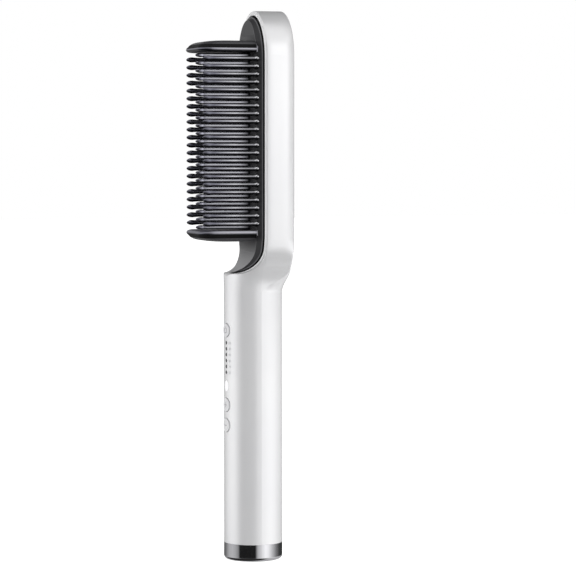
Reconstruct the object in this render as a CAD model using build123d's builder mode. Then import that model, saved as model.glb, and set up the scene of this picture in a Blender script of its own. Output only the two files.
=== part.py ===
from build123d import *
import math
import os

os.makedirs("parts", exist_ok=True)

# Hair straightening brush, in millimetres.
# Z runs up the handle, the teeth point to -Y, X is the width, and the origin is the
# centre of the end cap's flat bottom.

# Handle and housing
overall_height = 290.0
handle_radius = 15.5
handle_wall = 2.0
cap_height = 9.0
neck_blend_radius = 25.0
neck_blend_drop = 3.4
neck_inset = 0.1
neck_square_drop = 1.0
neck_square_rise = 11.0
back_flat = 0.1
bore_overlap = 3.0

# Head: a ring with round ends, whose front rim lies on the handle's middle plane
head_width = 47.5
head_edge_round = 0.8
front_rim_wall = 1.55
front_rim_top = 2.4
front_rim_bottom = 5.2
front_pocket_depth = 3.0
ledge_width = 1.5
back_recess = 4.5

# Concave sweep that leads the front of the handle back to the rim of the head
scoop_rise = 0.4
shoulder_round = 2.5
lead_duct_width = 10.0
lead_duct_rise = 4.0

# Comb frame, the raised insert that fills the front of the head
frame_clearance = 0.15
frame_shell = 2.5
frame_skirt = 3.65
plateau_height = 3.1
plateau_half_width = 15.8
plateau_top_margin = 2.45
plateau_bottom_margin = 0.55
plateau_top_end = 19.0
plateau_bottom_end = 20.7
sweep_spread = 0.9
sweep_rise = 0.6

# Teeth
comb_offset = 2.0
tooth_pitch = 4.1
side_finger_count = 22
heated_blade_count = 23
tooth_reach = 32.0
side_row_x = 15.8
finger_root_half_width = 2.5
finger_tip_half_width = 0.8
finger_half_thickness = 1.35
blade_root_half_width = 5.0
blade_tip_half_width = 0.9
blade_half_thickness = 1.1
blade_reach = 31.5
slot_clearance = 0.15
guard_gap = 0.3
guard_thickness = 5.85
guard_half_width = 17.3
guard_bulge = 2.7
guard_outer_half_width = 13.8
guard_reach = 33.4
guard_outer_reach = 24.1
guard_corner = 7.0

# Heater stack behind the comb frame
spine_thickness = 2.2
spine_half_width = 6.6
strip_thickness = 1.5
strip_half_width = 5.0
strip_end_margin = 1.1
clamp_thickness = 0.8
clamp_half_width = 17.6
stack_gap = 0.1
rail_half_width = 2.4
boss_radius = 1.9
boss_x = 9.2
boss_z = 33.0
post_x = 9.5
post_gap = 4.65
post_end_margin = 10.85
post_radius = 3.0
post_tip_radius = 2.1
post_step_y = 8.4
insulation_thickness = 0.8
insulation_half_width = 17.0
screw_shank_radius = 1.0
screw_clearance = 0.05
screw_head = 1.1
clamp_screw_head_radius = 1.8
frame_screw_head_radius = 2.5
frame_screw_length = 6.0
board_screw_head_radius = 1.9
thermistor_rise = 8.0
thermal_fuse_radius = 1.8
lead_radius = 0.55
thin_lead_radius = 0.35
lead_y = 5.1
tab_width = 1.8
tab_height = 2.0
tab_reach = 1.0
clamp_corner = 3.0
clamp_margin = 0.6
clamp_slot_x = 12.5
clamp_slot_z = 14.0
clamp_slot_length = 16.0
clamp_slot_width = 3.0
thermistor_width = 4.0
thermistor_height = 6.0
thermistor_depth = 2.4
thermal_fuse_x = 5.5
thermal_fuse_drop = 22.0
thermal_fuse_length = 11.0
thermal_fuse_pin = 5.0
thermal_fuse_pin_radius = 0.5
insulation_margin_low = 6.0
insulation_margin_high = 4.5
rail_margin = 1.8

# Back bezel and panel
bezel_clearance = 0.15
bezel_outer_half_width = 22.5
bezel_bottom_margin = 1.0
bezel_top_margin = 1.5
bezel_floor = 1.3
bezel_setback = 0.2
bezel_bevel = 0.9
panel_half_width = 18.8
panel_bottom_margin = 5.8
panel_top_margin = 6.7
panel_gap = 0.25
panel_setback = 0.1
panel_edge_round = 1.2

# Controls: one column on the handle, turned a little towards the thumb
control_turn = 7.5
button_radius = 3.6
button_clearance = 0.2
button_proud = 0.5
button_travel = 0.4
button_flange_radius = 4.6
button_flange = 0.7
power_button_drop = 21.0
led_drop = 6.7
led_pitch = 3.12
led_count = 6
led_radius = 0.9
led_clearance = 0.1
lens_drop = 29.5
lens_width = 4.2
lens_height = 5.8
lens_foot = 0.8
guide_gap = 1.2
guide_bar = 1.4
guide_bar_width = 3.6
guide_bar_margin = 1.0
led_chip_width = 2.0
led_chip_height = 1.25
up_button_drop = 39.5
down_button_drop = 50.3

# Board and its chassis
board_setback = 4.2
board_thickness = 1.6
board_margin = 0.5
board_bottom = 30.0
board_top_drop = 11.0
board_gap = 0.1
switch_side = 6.0
switch_height = 1.6
plunger_radius = 1.2
plunger_clearance = 0.1
plunger_grip = 0.8
chassis_clearance = 0.2
chassis_wall = 1.5
chassis_top_drop = 5.0
chassis_bar_depth = 3.0
chassis_bar_height = 5.0
chassis_lip = 2.0
chassis_lip_width = 1.6
bar_inset = 3.5
mains_block_rise = 12.0
heater_block_drop = 16.0
block_height = 8.0
block_half_width = 7.9
block_depth = 7.4

# Components on the back of the board, in a row between the two terminal blocks
component_gap = 0.8
capacitor_width = 13.0
capacitor_height = 9.0
capacitor_depth = 8.5
fuse_radius = 2.3
fuse_length = 13.0
triac_width = 10.0
triac_tab_height = 13.0
triac_tab = 1.3
triac_body_height = 8.0
triac_body = 4.5
chip_side = 6.0
chip_depth = 1.2

# Leads inside the brush
wire_bend = 6.0
heater_lead_x = 3.2
thin_lead_x = 1.1
mains_lead_x = 7.3
heater_lead_inset = 1.3
mains_lead_gap = 1.6
lead_turn_drop = 15.0
lead_straight_drop = 2.0

# End cap and cord swivel
cap_bore_radius = 11.6
cap_floor = 3.0
cap_edge_round = 2.0
spigot_height = 6.0
spigot_clearance = 0.1
gland_radius = 6.0
gland_clearance = 0.1
gland_flange_radius = 8.0
gland_flange = 2.0
gland_flange_clearance = 0.3
gland_stem_radius = 4.6
gland_top = 18.0
cord_bore_radius = 3.3
ring_thickness = 0.7
ring_height = 2.0
lower_ring_z = 10.0
upper_ring_z = 14.5
axial_play = 0.2
retainer_thickness = 1.6
carrier_bore_radius = 7.2
carrier_top = 21.0
carrier_flange = 2.0
contact_width = 4.0
contact_thickness = 0.5

# Values worked out from the sizes above
handle_bore = handle_radius - handle_wall
head_depth = handle_radius
scoop_radius = handle_radius - shoulder_round
sweep_radius = scoop_radius + sweep_spread
board_front = handle_bore - board_setback
board_half_width = math.sqrt(handle_bore ** 2 - board_front ** 2) - board_margin
head_radius = head_width / 2
blade_span = (heated_blade_count - 1) / 2 * tooth_pitch
guard_inner = blade_span + blade_half_thickness + guard_gap
guard_outer = guard_inner + guard_thickness
post_z = guard_outer + post_gap
opening_length = 2 * (post_z + post_end_margin + frame_clearance)
head_length = front_rim_bottom + opening_length + front_rim_top
head_bottom = overall_height - head_length
head_bottom_centre = head_bottom + head_radius
neck_start = head_bottom - neck_blend_drop
neck_bottom = neck_start - neck_square_drop
bore_top = neck_start + bore_overlap
opening_radius = head_radius - front_rim_wall
opening_bottom = head_bottom + front_rim_bottom
opening_top = overall_height - front_rim_top
scoop_centre_z = opening_bottom + scoop_rise + scoop_radius
sweep_centre_z = scoop_centre_z + sweep_rise
frame_radius = opening_radius - frame_clearance
frame_bottom = opening_bottom + frame_clearance
frame_top = opening_top - frame_clearance
plateau_top = frame_top - plateau_top_margin
plateau_bottom = frame_bottom + plateau_bottom_margin
plateau_top_shoulder = plateau_top - plateau_top_end
plateau_bottom_shoulder = plateau_bottom + plateau_bottom_end
comb_centre_z = (plateau_bottom_shoulder + plateau_top_shoulder) / 2 + comb_offset
ledge_back = head_depth - back_recess
frame_underside = frame_shell - plateau_height
pocket_radius = frame_radius - frame_skirt
spine_front = frame_underside + stack_gap
spine_back = spine_front + spine_thickness
strip_front = spine_back + stack_gap
strip_back = strip_front + strip_thickness
clamp_front = strip_back + stack_gap
clamp_back = clamp_front + clamp_thickness
spine_half_length = guard_inner - guard_gap
strip_half_length = blade_span - strip_end_margin
rail_half_length = (side_finger_count - 1) / 2 * tooth_pitch + rail_margin
insulation_front = post_step_y + stack_gap
bezel_bottom = head_bottom + bezel_bottom_margin
bezel_top = overall_height - bezel_top_margin
panel_bottom = head_bottom + panel_bottom_margin
panel_top = overall_height - panel_top_margin
bezel_front = ledge_back
bezel_back = head_depth - bezel_setback
panel_front = bezel_front + bezel_floor + stack_gap
panel_back = head_depth - panel_setback
post_back = bezel_front - stack_gap
board_back = board_front - board_thickness
switch_front = board_front + switch_height
flange_back = switch_front + 2 * button_travel
button_top_radius = handle_radius + button_proud
gland_flange_z = cap_floor + axial_play
retainer_z = gland_flange_z + gland_flange + axial_play
carrier_z = retainer_z + retainer_thickness + stack_gap
spigot_radius = handle_bore - spigot_clearance
chassis_radius = handle_bore - chassis_clearance
chassis_bottom = carrier_top + stack_gap
chassis_front = board_back - board_gap
heater_lead_depth = board_back - block_depth + heater_lead_inset
mains_lead_depth = chassis_front - chassis_bar_depth - mains_lead_gap
power_button_z = neck_start - power_button_drop
led_top_z = power_button_z - led_drop
lens_z = power_button_z - lens_drop
up_button_z = power_button_z - up_button_drop
down_button_z = power_button_z - down_button_drop
board_top = neck_start - board_top_drop
chassis_top = neck_start - chassis_top_drop
lower_bar_z = board_bottom + bar_inset
upper_bar_z = board_top - bar_inset
mains_block_z = board_bottom + mains_block_rise
heater_block_z = board_top - heater_block_drop
capacitor_z = mains_block_z + (block_height + capacitor_height) / 2 + component_gap
fuse_z = capacitor_z + capacitor_height / 2 + component_gap + fuse_radius
triac_bottom = fuse_z + fuse_radius + component_gap
chip_z = triac_bottom + triac_tab_height + component_gap + chip_side / 2
lead_turn_z = neck_start - lead_turn_drop
lead_straight_z = neck_start - lead_straight_drop
guide_back = board_front + guide_gap
finger_heights = [
    comb_centre_z + (k - (side_finger_count - 1) / 2) * tooth_pitch
    for k in range(side_finger_count)
]
blade_heights = [
    comb_centre_z + (k - (heated_blade_count - 1) / 2) * tooth_pitch
    for k in range(heated_blade_count)
]
boss_places = [(x, comb_centre_z + z) for x in (-boss_x, boss_x) for z in (-boss_z, boss_z)]
post_places = [(x, comb_centre_z + z) for x in (-post_x, post_x) for z in (-post_z, post_z)]
clamp_slots = [
    (x, comb_centre_z + z)
    for x in (-clamp_slot_x, clamp_slot_x) for z in (-clamp_slot_z, clamp_slot_z)
]
button_heights = [power_button_z, up_button_z, down_button_z]
led_heights = [led_top_z - k * led_pitch for k in range(led_count)]
tab_z = comb_centre_z - strip_half_length + tab_height / 2


def stadium(half_width, low, high):
    """Sketch an upright stadium between two heights of the XZ plane."""
    with Locations((0, (low + high) / 2)):
        SlotOverall(high - low, 2 * half_width, rotation=90)


def on_front(y):
    """Plane that faces -Y at depth y, with X across and Z up."""
    return Plane(origin=(0, y, 0), x_dir=(1, 0, 0), z_dir=(0, -1, 0))


turn = math.radians(control_turn)
outward = Vector(math.sin(turn), -math.cos(turn), 0)
across = Vector(math.cos(turn), math.sin(turn), 0)


def on_control(depth):
    """Plane that faces the thumb at a distance from the handle's axis, Z up."""
    return Plane(origin=outward * depth, x_dir=across, z_dir=outward)


def on_handle_section(z):
    """Level plane across the handle, with its Y axis pointing at the thumb."""
    return Plane(origin=(0, 0, z), x_dir=-across, z_dir=(0, 0, 1))


def rim_y(z):
    """Depth of the housing's front rim at a height, along the concave sweep."""
    drop = min(max(scoop_centre_z - z, 0.0), scoop_radius)
    return math.sqrt(scoop_radius ** 2 - drop ** 2) - scoop_radius


def plateau_y(z):
    """Depth of the comb frame's raised face at a height, along its own sweep."""
    drop = min(max(sweep_centre_z - z, 0.0), sweep_radius)
    return math.sqrt(sweep_radius ** 2 - drop ** 2) - sweep_radius - plateau_height


def plateau_x(z):
    """Half width of the raised face: straight sides with elliptical ends."""
    if z > plateau_top_shoulder:
        share = (z - plateau_top_shoulder) / (plateau_top - plateau_top_shoulder)
    else:
        share = (plateau_bottom_shoulder - z) / (plateau_bottom_shoulder - plateau_bottom)
    share = min(max(share, 0.0), 0.998)
    return plateau_half_width * math.sqrt(1 - share ** 2)


def opening_x(z):
    """Half width of the comb frame's own outline at a height."""
    low = frame_bottom + frame_radius
    high = frame_top - frame_radius
    drop = max(low - z, z - high, 0.0)
    return math.sqrt(max(frame_radius ** 2 - drop ** 2, 0.25))


neck_touch_z = head_bottom_centre - head_radius * (head_bottom_centre - neck_start) / (
    head_radius + neck_blend_radius
)


def neck_x(z):
    """Half width of the neck, a round blend from the handle to the head's lower end."""
    side_centre = handle_radius + neck_blend_radius
    rise = min(max(z - neck_start, 0.0), neck_blend_radius)
    blend = side_centre - math.sqrt(neck_blend_radius ** 2 - rise ** 2)
    drop = min(head_bottom_centre - z, head_radius)
    head = math.sqrt(head_radius ** 2 - drop ** 2) - neck_inset
    return blend if z < neck_touch_z else head


def neck_squareness(z):
    """How far the back of the neck has turned from round to the head's flat back."""
    share = (z - neck_bottom) / (neck_square_drop + neck_square_rise)
    share = min(max(share, 0.0), 1.0)
    return share * share * (3 - 2 * share)


# Housing: handle tube, neck and head ring moulded in one
with BuildPart() as housing:
    with BuildSketch(on_front(0)):
        stadium(head_radius, head_bottom, overall_height)
    extrude(amount=-head_depth)
    fillet(housing.edges().filter_by(lambda e: e.center().Y < 0.01
                                     or e.center().Y > head_depth - 0.01), head_edge_round)
    # Handle: round in front, and as good as round behind, where the neck's loft takes over
    round_corner = handle_radius - back_flat
    with BuildSketch(Plane.XY.offset(cap_height)):
        with BuildLine():
            CenterArc((0, 0), handle_radius, 180, 180)
            Line((handle_radius, 0), (handle_radius, back_flat))
            CenterArc((back_flat, back_flat), round_corner, 0, 90)
            Line((back_flat, handle_radius), (-back_flat, handle_radius))
            CenterArc((-back_flat, back_flat), round_corner, 90, 90)
            Line((-handle_radius, back_flat), (-handle_radius, 0))
        make_face()
    extrude(amount=neck_bottom - cap_height)
    # Neck: level sections that grow squarer behind as they widen into the head
    neck_steps = 10
    for step in range(neck_steps + 1):
        height = neck_bottom + (scoop_centre_z - neck_bottom) * step / neck_steps
        side = neck_x(height)
        square = neck_squareness(height)
        back = handle_radius - neck_inset * square
        corner = round_corner + (head_edge_round + neck_inset - round_corner) * square
        with BuildSketch(Plane.XY.offset(height)):
            with BuildLine():
                EllipticalCenterArc((0, 0), side, handle_radius, 180, arc_size=180)
                Line((side, 0), (side, back - corner))
                CenterArc((side - corner, back - corner), corner, 0, 90)
                Line((side - corner, back), (corner - side, back))
                CenterArc((corner - side, back - corner), corner, 90, 90)
                Line((-side, back - corner), (-side, 0))
            make_face()
    loft()
    with BuildSketch(Plane.YZ):
        with BuildLine():
            front = -handle_radius
            low = scoop_centre_z - scoop_radius
            shoulder_z = low - shoulder_round
            Line((0, overall_height), (0, scoop_centre_z))
            CenterArc((-scoop_radius, scoop_centre_z), scoop_radius, 0, -90)
            CenterArc((-scoop_radius, shoulder_z), shoulder_round, 90, 90)
            Line((front, shoulder_z), (2 * front, shoulder_z))
            Line((2 * front, shoulder_z), (2 * front, overall_height))
            Line((2 * front, overall_height), (0, overall_height))
        make_face()
    extrude(amount=head_width, both=True, mode=Mode.SUBTRACT)
    with BuildSketch(on_front(-scoop_radius)):
        stadium(opening_radius, opening_bottom, opening_top)
    extrude(amount=-(scoop_radius + front_pocket_depth), mode=Mode.SUBTRACT)
    with BuildSketch(on_front(0)):
        stadium(opening_radius - ledge_width, opening_bottom + ledge_width,
                opening_top - ledge_width)
    extrude(amount=-head_depth, mode=Mode.SUBTRACT)
    with BuildSketch(on_front(ledge_back)):
        stadium(bezel_outer_half_width + bezel_clearance, bezel_bottom - bezel_clearance,
                bezel_top + bezel_clearance)
    extrude(amount=-head_depth, mode=Mode.SUBTRACT)
    with BuildSketch(Plane.XY.offset(cap_height)):
        Circle(handle_bore)
    extrude(amount=bore_top - cap_height, mode=Mode.SUBTRACT)
    with BuildSketch(Plane.XY.offset(bore_top - 1)):
        with Locations((0, (front_pocket_depth + ledge_back) / 2)):
            Rectangle(lead_duct_width, ledge_back - front_pocket_depth - 1.0)
    extrude(amount=opening_bottom + lead_duct_rise - bore_top, mode=Mode.SUBTRACT)
    with BuildSketch(on_control(handle_radius + 1)):
        with Locations(*[(0, z) for z in button_heights]):
            Circle(button_radius + button_clearance)
        with Locations(*[(0, z) for z in led_heights]):
            Circle(led_radius + led_clearance)
        with Locations((0, lens_z)):
            Ellipse(lens_width / 2 + led_clearance, lens_height / 2 + led_clearance)
    extrude(amount=-(handle_wall + 2.5), mode=Mode.SUBTRACT)
housing.part.label = "housing"
export_step(housing.part, "parts/housing.step")


def guard_foot(end, clearance):
    """Sketch the foot of an end guard, or its slot, which narrows away from the comb."""
    inner = comb_centre_z + end * (guard_inner - clearance)
    waist = comb_centre_z + end * (guard_inner + guard_bulge)
    outer = comb_centre_z + end * (guard_outer + clearance)
    wide = guard_half_width + clearance
    narrow = guard_outer_half_width + clearance
    Polygon(
        (-wide, inner), (wide, inner), (wide, waist), (narrow, outer),
        (-narrow, outer), (-wide, waist), align=None,
    )


# Comb frame: a dished insert, raised in the middle, lofted through level slices
slice_heights = [
    plateau_bottom + share * (plateau_bottom_shoulder - plateau_bottom)
    for share in (0.003, 0.03, 0.09, 0.18, 0.30, 0.45, 0.64, 0.82, 1.0)
]
slice_heights += [
    plateau_top_shoulder + share * (plateau_top - plateau_top_shoulder)
    for share in (0.0, 0.26, 0.5, 0.7, 0.86, 0.96, 1.0)
]
slice_heights.append(frame_top)
skirt_margin = 1.5
with BuildPart() as comb_frame:
    for height in slice_heights:
        inner_x = plateau_x(height)
        outer_x = opening_x(height)
        inner_y = plateau_y(height)
        fall = (rim_y(height) - inner_y) / max(outer_x - inner_x, 0.5)
        wide = outer_x + skirt_margin
        low_y = min(inner_y + fall * (wide - inner_x), front_pocket_depth - 0.6)
        if height > plateau_top:
            inner_y = low_y - 0.4
        with BuildSketch(Plane.XY.offset(height)):
            Polygon(
                (-wide, front_pocket_depth), (-wide, low_y), (-inner_x, inner_y),
                (inner_x, inner_y), (wide, low_y), (wide, front_pocket_depth), align=None,
            )
    loft(ruled=True)
    with BuildSketch(on_front(-handle_radius)):
        stadium(frame_radius, frame_bottom, frame_top)
    extrude(amount=-(handle_radius + front_pocket_depth), mode=Mode.INTERSECT)
    with BuildSketch(on_front(frame_underside)):
        stadium(pocket_radius, frame_bottom + frame_skirt, frame_top - frame_skirt)
    extrude(amount=-(front_pocket_depth - frame_underside), mode=Mode.SUBTRACT)
    with BuildSketch(on_front(-plateau_height - 1)):
        with Locations(*[(side * side_row_x, z) for side in (-1, 1) for z in finger_heights]):
            Rectangle(2 * (finger_root_half_width + slot_clearance),
                      2 * (finger_half_thickness + slot_clearance))
        with Locations(*[(0, z) for z in blade_heights]):
            Rectangle(2 * (blade_root_half_width + slot_clearance),
                      2 * (blade_half_thickness + slot_clearance))
        for end in (-1, 1):
            guard_foot(end, slot_clearance)
    extrude(amount=-(frame_shell + 1.5), mode=Mode.SUBTRACT)
    with BuildSketch(on_front(frame_underside)):
        with Locations(*boss_places):
            Circle(boss_radius)
    extrude(amount=-(clamp_front - stack_gap - frame_underside))
    with BuildSketch(on_front(frame_underside)):
        with Locations(*post_places):
            Circle(post_radius)
    extrude(amount=-(post_step_y - frame_underside))
    with BuildSketch(on_front(post_step_y)):
        with Locations(*post_places):
            Circle(post_tip_radius)
    extrude(amount=-(post_back - post_step_y))
    with BuildSketch(on_front(clamp_front)):
        with Locations(*boss_places):
            Circle(screw_shank_radius + screw_clearance)
    extrude(amount=clamp_front - frame_underside, mode=Mode.SUBTRACT)
    with BuildSketch(on_front(post_back)):
        with Locations(*post_places):
            Circle(screw_shank_radius + screw_clearance)
    extrude(amount=frame_screw_length, mode=Mode.SUBTRACT)
comb_frame.part.label = "comb_frame"
export_step(comb_frame.part, "parts/comb_frame.step")


def tooth(root_half_width, tip_half_width, half_thickness, root_y, reach):
    """One tooth at x = 0, z = 0: eight-sided, narrowing to a pointed drop at the tip."""
    sections = [
        (root_y, root_half_width, half_thickness),
        (-plateau_height, root_half_width, half_thickness),
        (4.5 - reach, tip_half_width + 0.4, half_thickness),
        (1.6 - reach, tip_half_width, 0.8 * half_thickness),
        (-reach, 0.3 * tip_half_width, 0.22 * half_thickness),
    ]
    with BuildPart(mode=Mode.PRIVATE) as body:
        for depth, wide, thick in sections:
            cut_x = 0.42 * min(wide, 1.6)
            cut_z = 0.5 * thick
            with BuildSketch(on_front(depth)):
                Polygon(
                    (wide, -thick + cut_z), (wide, thick - cut_z), (wide - cut_x, thick),
                    (cut_x - wide, thick), (-wide, thick - cut_z), (-wide, cut_z - thick),
                    (cut_x - wide, -thick), (wide - cut_x, -thick), align=None,
                )
        loft(ruled=True)
    return body.part


# Side combs: a rail behind the frame, with a row of fingers out through its slots
finger = tooth(finger_root_half_width, finger_tip_half_width, finger_half_thickness,
               spine_front, tooth_reach)
for side, name in ((-1, "side_comb_left"), (1, "side_comb_right")):
    with BuildPart() as side_comb:
        with BuildSketch(on_front(spine_front)):
            with Locations((side * side_row_x, comb_centre_z)):
                Rectangle(2 * rail_half_width, 2 * rail_half_length)
        extrude(amount=-(strip_back - spine_front))
        with Locations(*[(side * side_row_x, 0, z) for z in finger_heights]):
            add(finger)
    side_comb.part.label = name
    export_step(side_comb.part, f"parts/{name}.step")


# Heated comb: an aluminium spine with the middle row of blades
blade = tooth(blade_root_half_width, blade_tip_half_width, blade_half_thickness,
              spine_front, blade_reach)
with BuildPart() as heated_comb:
    with BuildSketch(on_front(spine_front)):
        with Locations((0, comb_centre_z)):
            Rectangle(2 * spine_half_width, 2 * spine_half_length)
    extrude(amount=-spine_thickness)
    with Locations(*[(0, 0, z) for z in blade_heights]):
        add(blade)
heated_comb.part.label = "heated_comb"
export_step(heated_comb.part, "parts/heated_comb.step")


# End guards: walls across both ends of the comb, each lofted through level slices from a
# rounded bulge beside the comb, over a shallow valley, to a lower band on the outside
waist_share = guard_bulge / guard_thickness
guard_slices = [
    # Share of the thickness, of the half width's fall, of the reach's fall
    (0.0, 0.20, 0.22),
    (0.09, 0.06, 0.07),
    (0.22, 0.0, 0.0),
    (0.34, 0.03, 0.01),
    (waist_share, 0.20, 0.06),
    (waist_share + 0.08, 0.30, 0.10),
    (0.68, 0.41, 0.18),
    (0.84, 0.60, 0.36),
    (0.95, 0.82, 0.64),
    (1.0, 1.0, 1.0),
]
for end, name in ((-1, "end_guard_lower"), (1, "end_guard_upper")):
    with BuildPart() as end_guard:
        for share, narrowing, lowering in guard_slices:
            height = comb_centre_z + end * (guard_inner + share * guard_thickness)
            wide = guard_half_width - narrowing * (guard_half_width - guard_outer_half_width)
            reach = guard_reach - lowering * (guard_reach - guard_outer_reach)
            flat = wide - guard_corner
            with BuildSketch(Plane.XY.offset(height)):
                with BuildLine():
                    Line((-wide, -plateau_height), (-wide, guard_corner - reach))
                    CenterArc((-flat, guard_corner - reach), guard_corner, 180, 90)
                    Line((-flat, -reach), (flat, -reach))
                    CenterArc((flat, guard_corner - reach), guard_corner, 270, 90)
                    Line((wide, guard_corner - reach), (wide, -plateau_height))
                    Line((wide, -plateau_height), (-wide, -plateau_height))
                make_face()
        loft(ruled=True)
        with BuildSketch(on_front(strip_back)):
            guard_foot(end, 0)
        extrude(amount=strip_back + plateau_height)
    end_guard.part.label = name
    export_step(end_guard.part, f"parts/{name}.step")


# Heater strip with its two solder tabs
with BuildPart() as heater_strip:
    with BuildSketch(on_front(strip_front)):
        with Locations((0, comb_centre_z)):
            Rectangle(2 * strip_half_width, 2 * strip_half_length)
    extrude(amount=-strip_thickness)
    with BuildSketch(on_front(strip_back)):
        with Locations(*[(x, tab_z) for x in (-heater_lead_x, heater_lead_x)]):
            Rectangle(tab_width, tab_height)
    extrude(amount=-(lead_y + tab_reach - strip_back))
heater_strip.part.label = "heater_strip"
export_step(heater_strip.part, "parts/heater_strip.step")


# Heater clamp: a sheet steel plate with a window for the solder tabs
with BuildPart() as heater_clamp:
    with BuildSketch(on_front(clamp_front)):
        with Locations((0, comb_centre_z)):
            RectangleRounded(2 * clamp_half_width, 2 * (guard_outer - clamp_margin),
                             clamp_corner)
        with Locations(*boss_places):
            Circle(screw_shank_radius + screw_clearance, mode=Mode.SUBTRACT)
        with Locations((0, tab_z)):
            Rectangle(2 * strip_half_width, 2 * tab_height, mode=Mode.SUBTRACT)
        with Locations(*clamp_slots):
            SlotOverall(clamp_slot_length, clamp_slot_width, rotation=90, mode=Mode.SUBTRACT)
    extrude(amount=-clamp_thickness)
heater_clamp.part.label = "heater_clamp"
export_step(heater_clamp.part, "parts/heater_clamp.step")


# Clamp screws, four in one group
with BuildPart() as clamp_screws:
    with BuildSketch(on_front(clamp_back)):
        with Locations(*boss_places):
            Circle(clamp_screw_head_radius)
    extrude(amount=-screw_head)
    with BuildSketch(on_front(clamp_back)):
        with Locations(*boss_places):
            Circle(screw_shank_radius)
    extrude(amount=clamp_back - frame_underside - 0.6)
clamp_screws.part.label = "clamp_screws"
export_step(clamp_screws.part, "parts/clamp_screws.step")


# Thermistor bead and thermal fuse on the back of the clamp
with BuildPart() as thermistor:
    with BuildSketch(on_front(clamp_back)):
        with Locations((0, comb_centre_z + thermistor_rise)):
            RectangleRounded(thermistor_width, thermistor_height, 0.3 * thermistor_width)
    extrude(amount=-thermistor_depth)
thermistor.part.label = "thermistor"
export_step(thermistor.part, "parts/thermistor.step")

with BuildPart() as thermal_fuse:
    fuse_y = clamp_back + thermal_fuse_radius + screw_clearance
    fuse_bottom = comb_centre_z - thermal_fuse_drop
    with BuildSketch(Plane.XY.offset(fuse_bottom)):
        with Locations((-thermal_fuse_x, fuse_y)):
            Circle(thermal_fuse_radius)
    extrude(amount=thermal_fuse_length)
    with BuildSketch(Plane.XY.offset(fuse_bottom - thermal_fuse_pin)):
        with Locations((-thermal_fuse_x, fuse_y)):
            Circle(thermal_fuse_pin_radius)
    extrude(amount=thermal_fuse_length + 2 * thermal_fuse_pin)
thermal_fuse.part.label = "thermal_fuse"
export_step(thermal_fuse.part, "parts/thermal_fuse.step")


# Insulation board, a mica sheet on the shoulders of the frame's posts
with BuildPart() as insulation_board:
    with BuildSketch(on_front(insulation_front)):
        stadium(insulation_half_width, comb_centre_z - post_z - insulation_margin_low,
                comb_centre_z + post_z + insulation_margin_high)
        with Locations(*post_places):
            Circle(post_tip_radius + 0.1, mode=Mode.SUBTRACT)
    extrude(amount=-insulation_thickness)
insulation_board.part.label = "insulation_board"
export_step(insulation_board.part, "parts/insulation_board.step")


# Back bezel: a bevelled frame with a floor that the panel lies on
with BuildPart() as back_bezel:
    with BuildSketch(on_front(bezel_front)):
        stadium(bezel_outer_half_width, bezel_bottom, bezel_top)
    extrude(amount=-(bezel_back - bezel_front))
    chamfer(back_bezel.edges().filter_by(lambda e: e.center().Y > bezel_back - 0.01),
            0.5)
    with BuildSketch(on_front(bezel_front + bezel_floor)):
        stadium(panel_half_width + panel_gap, panel_bottom - panel_gap, panel_top + panel_gap)
    extrude(amount=-(bezel_back - bezel_front), mode=Mode.SUBTRACT)
    chamfer(back_bezel.edges().filter_by(
        lambda e: e.center().Y > bezel_back - 0.01 and abs(e.center().X) < panel_half_width + 1
    ).filter_by(lambda e: panel_bottom - 1 < e.center().Z < panel_top + 1), bezel_bevel)
    with BuildSketch(on_front(bezel_front)):
        with Locations(*post_places):
            Circle(screw_shank_radius + 0.2)
    extrude(amount=-bezel_floor, mode=Mode.SUBTRACT)
    with BuildSketch(on_front(bezel_front + bezel_floor - screw_head)):
        with Locations(*post_places):
            Circle(frame_screw_head_radius + 0.1)
    extrude(amount=-screw_head, mode=Mode.SUBTRACT)
back_bezel.part.label = "back_bezel"
export_step(back_bezel.part, "parts/back_bezel.step")


# Back panel, a softly rounded glossy cover
with BuildPart() as back_panel:
    with BuildSketch(on_front(panel_front)):
        stadium(panel_half_width, panel_bottom, panel_top)
    extrude(amount=-(panel_back - panel_front))
    fillet(back_panel.edges().filter_by(lambda e: e.center().Y > panel_back - 0.01),
           panel_edge_round)
back_panel.part.label = "back_panel"
export_step(back_panel.part, "parts/back_panel.step")


# Frame screws: they pull the bezel and the comb frame together, hidden by the panel
with BuildPart() as frame_screws:
    head_y = bezel_front + bezel_floor - screw_head
    with BuildSketch(on_front(head_y)):
        with Locations(*post_places):
            Circle(frame_screw_head_radius)
    extrude(amount=-(screw_head - 0.1))
    with BuildSketch(on_front(head_y)):
        with Locations(*post_places):
            Circle(screw_shank_radius)
    extrude(amount=frame_screw_length)
frame_screws.part.label = "frame_screws"
export_step(frame_screws.part, "parts/frame_screws.step")


# Push buttons: a domed cap in its hole, a flange that stops it behind the wall
for name, height in (("power", power_button_z), ("temperature_up", up_button_z),
                     ("temperature_down", down_button_z)):
    with BuildPart() as button:
        with BuildSketch(on_control(flange_back)):
            with Locations((0, height)):
                Circle(button_radius)
        extrude(amount=button_top_radius + 1 - flange_back)
        with BuildSketch(Plane.XY.offset(height - button_flange_radius)):
            Circle(button_top_radius)
        extrude(amount=2 * button_flange_radius, mode=Mode.INTERSECT)
        with BuildSketch(on_control(flange_back)):
            with Locations((0, height)):
                Circle(button_flange_radius)
        extrude(amount=button_flange)
    button.part.label = name + "_button"
    export_step(button.part, f"parts/{name}_button.step")

    with BuildPart() as plunger:
        with BuildSketch(on_control(switch_front - plunger_grip)):
            with Locations((0, height)):
                Circle(plunger_radius)
        extrude(amount=flange_back - switch_front + plunger_grip)
    plunger.part.label = name + "_plunger"
    export_step(plunger.part, f"parts/{name}_plunger.step")


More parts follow.
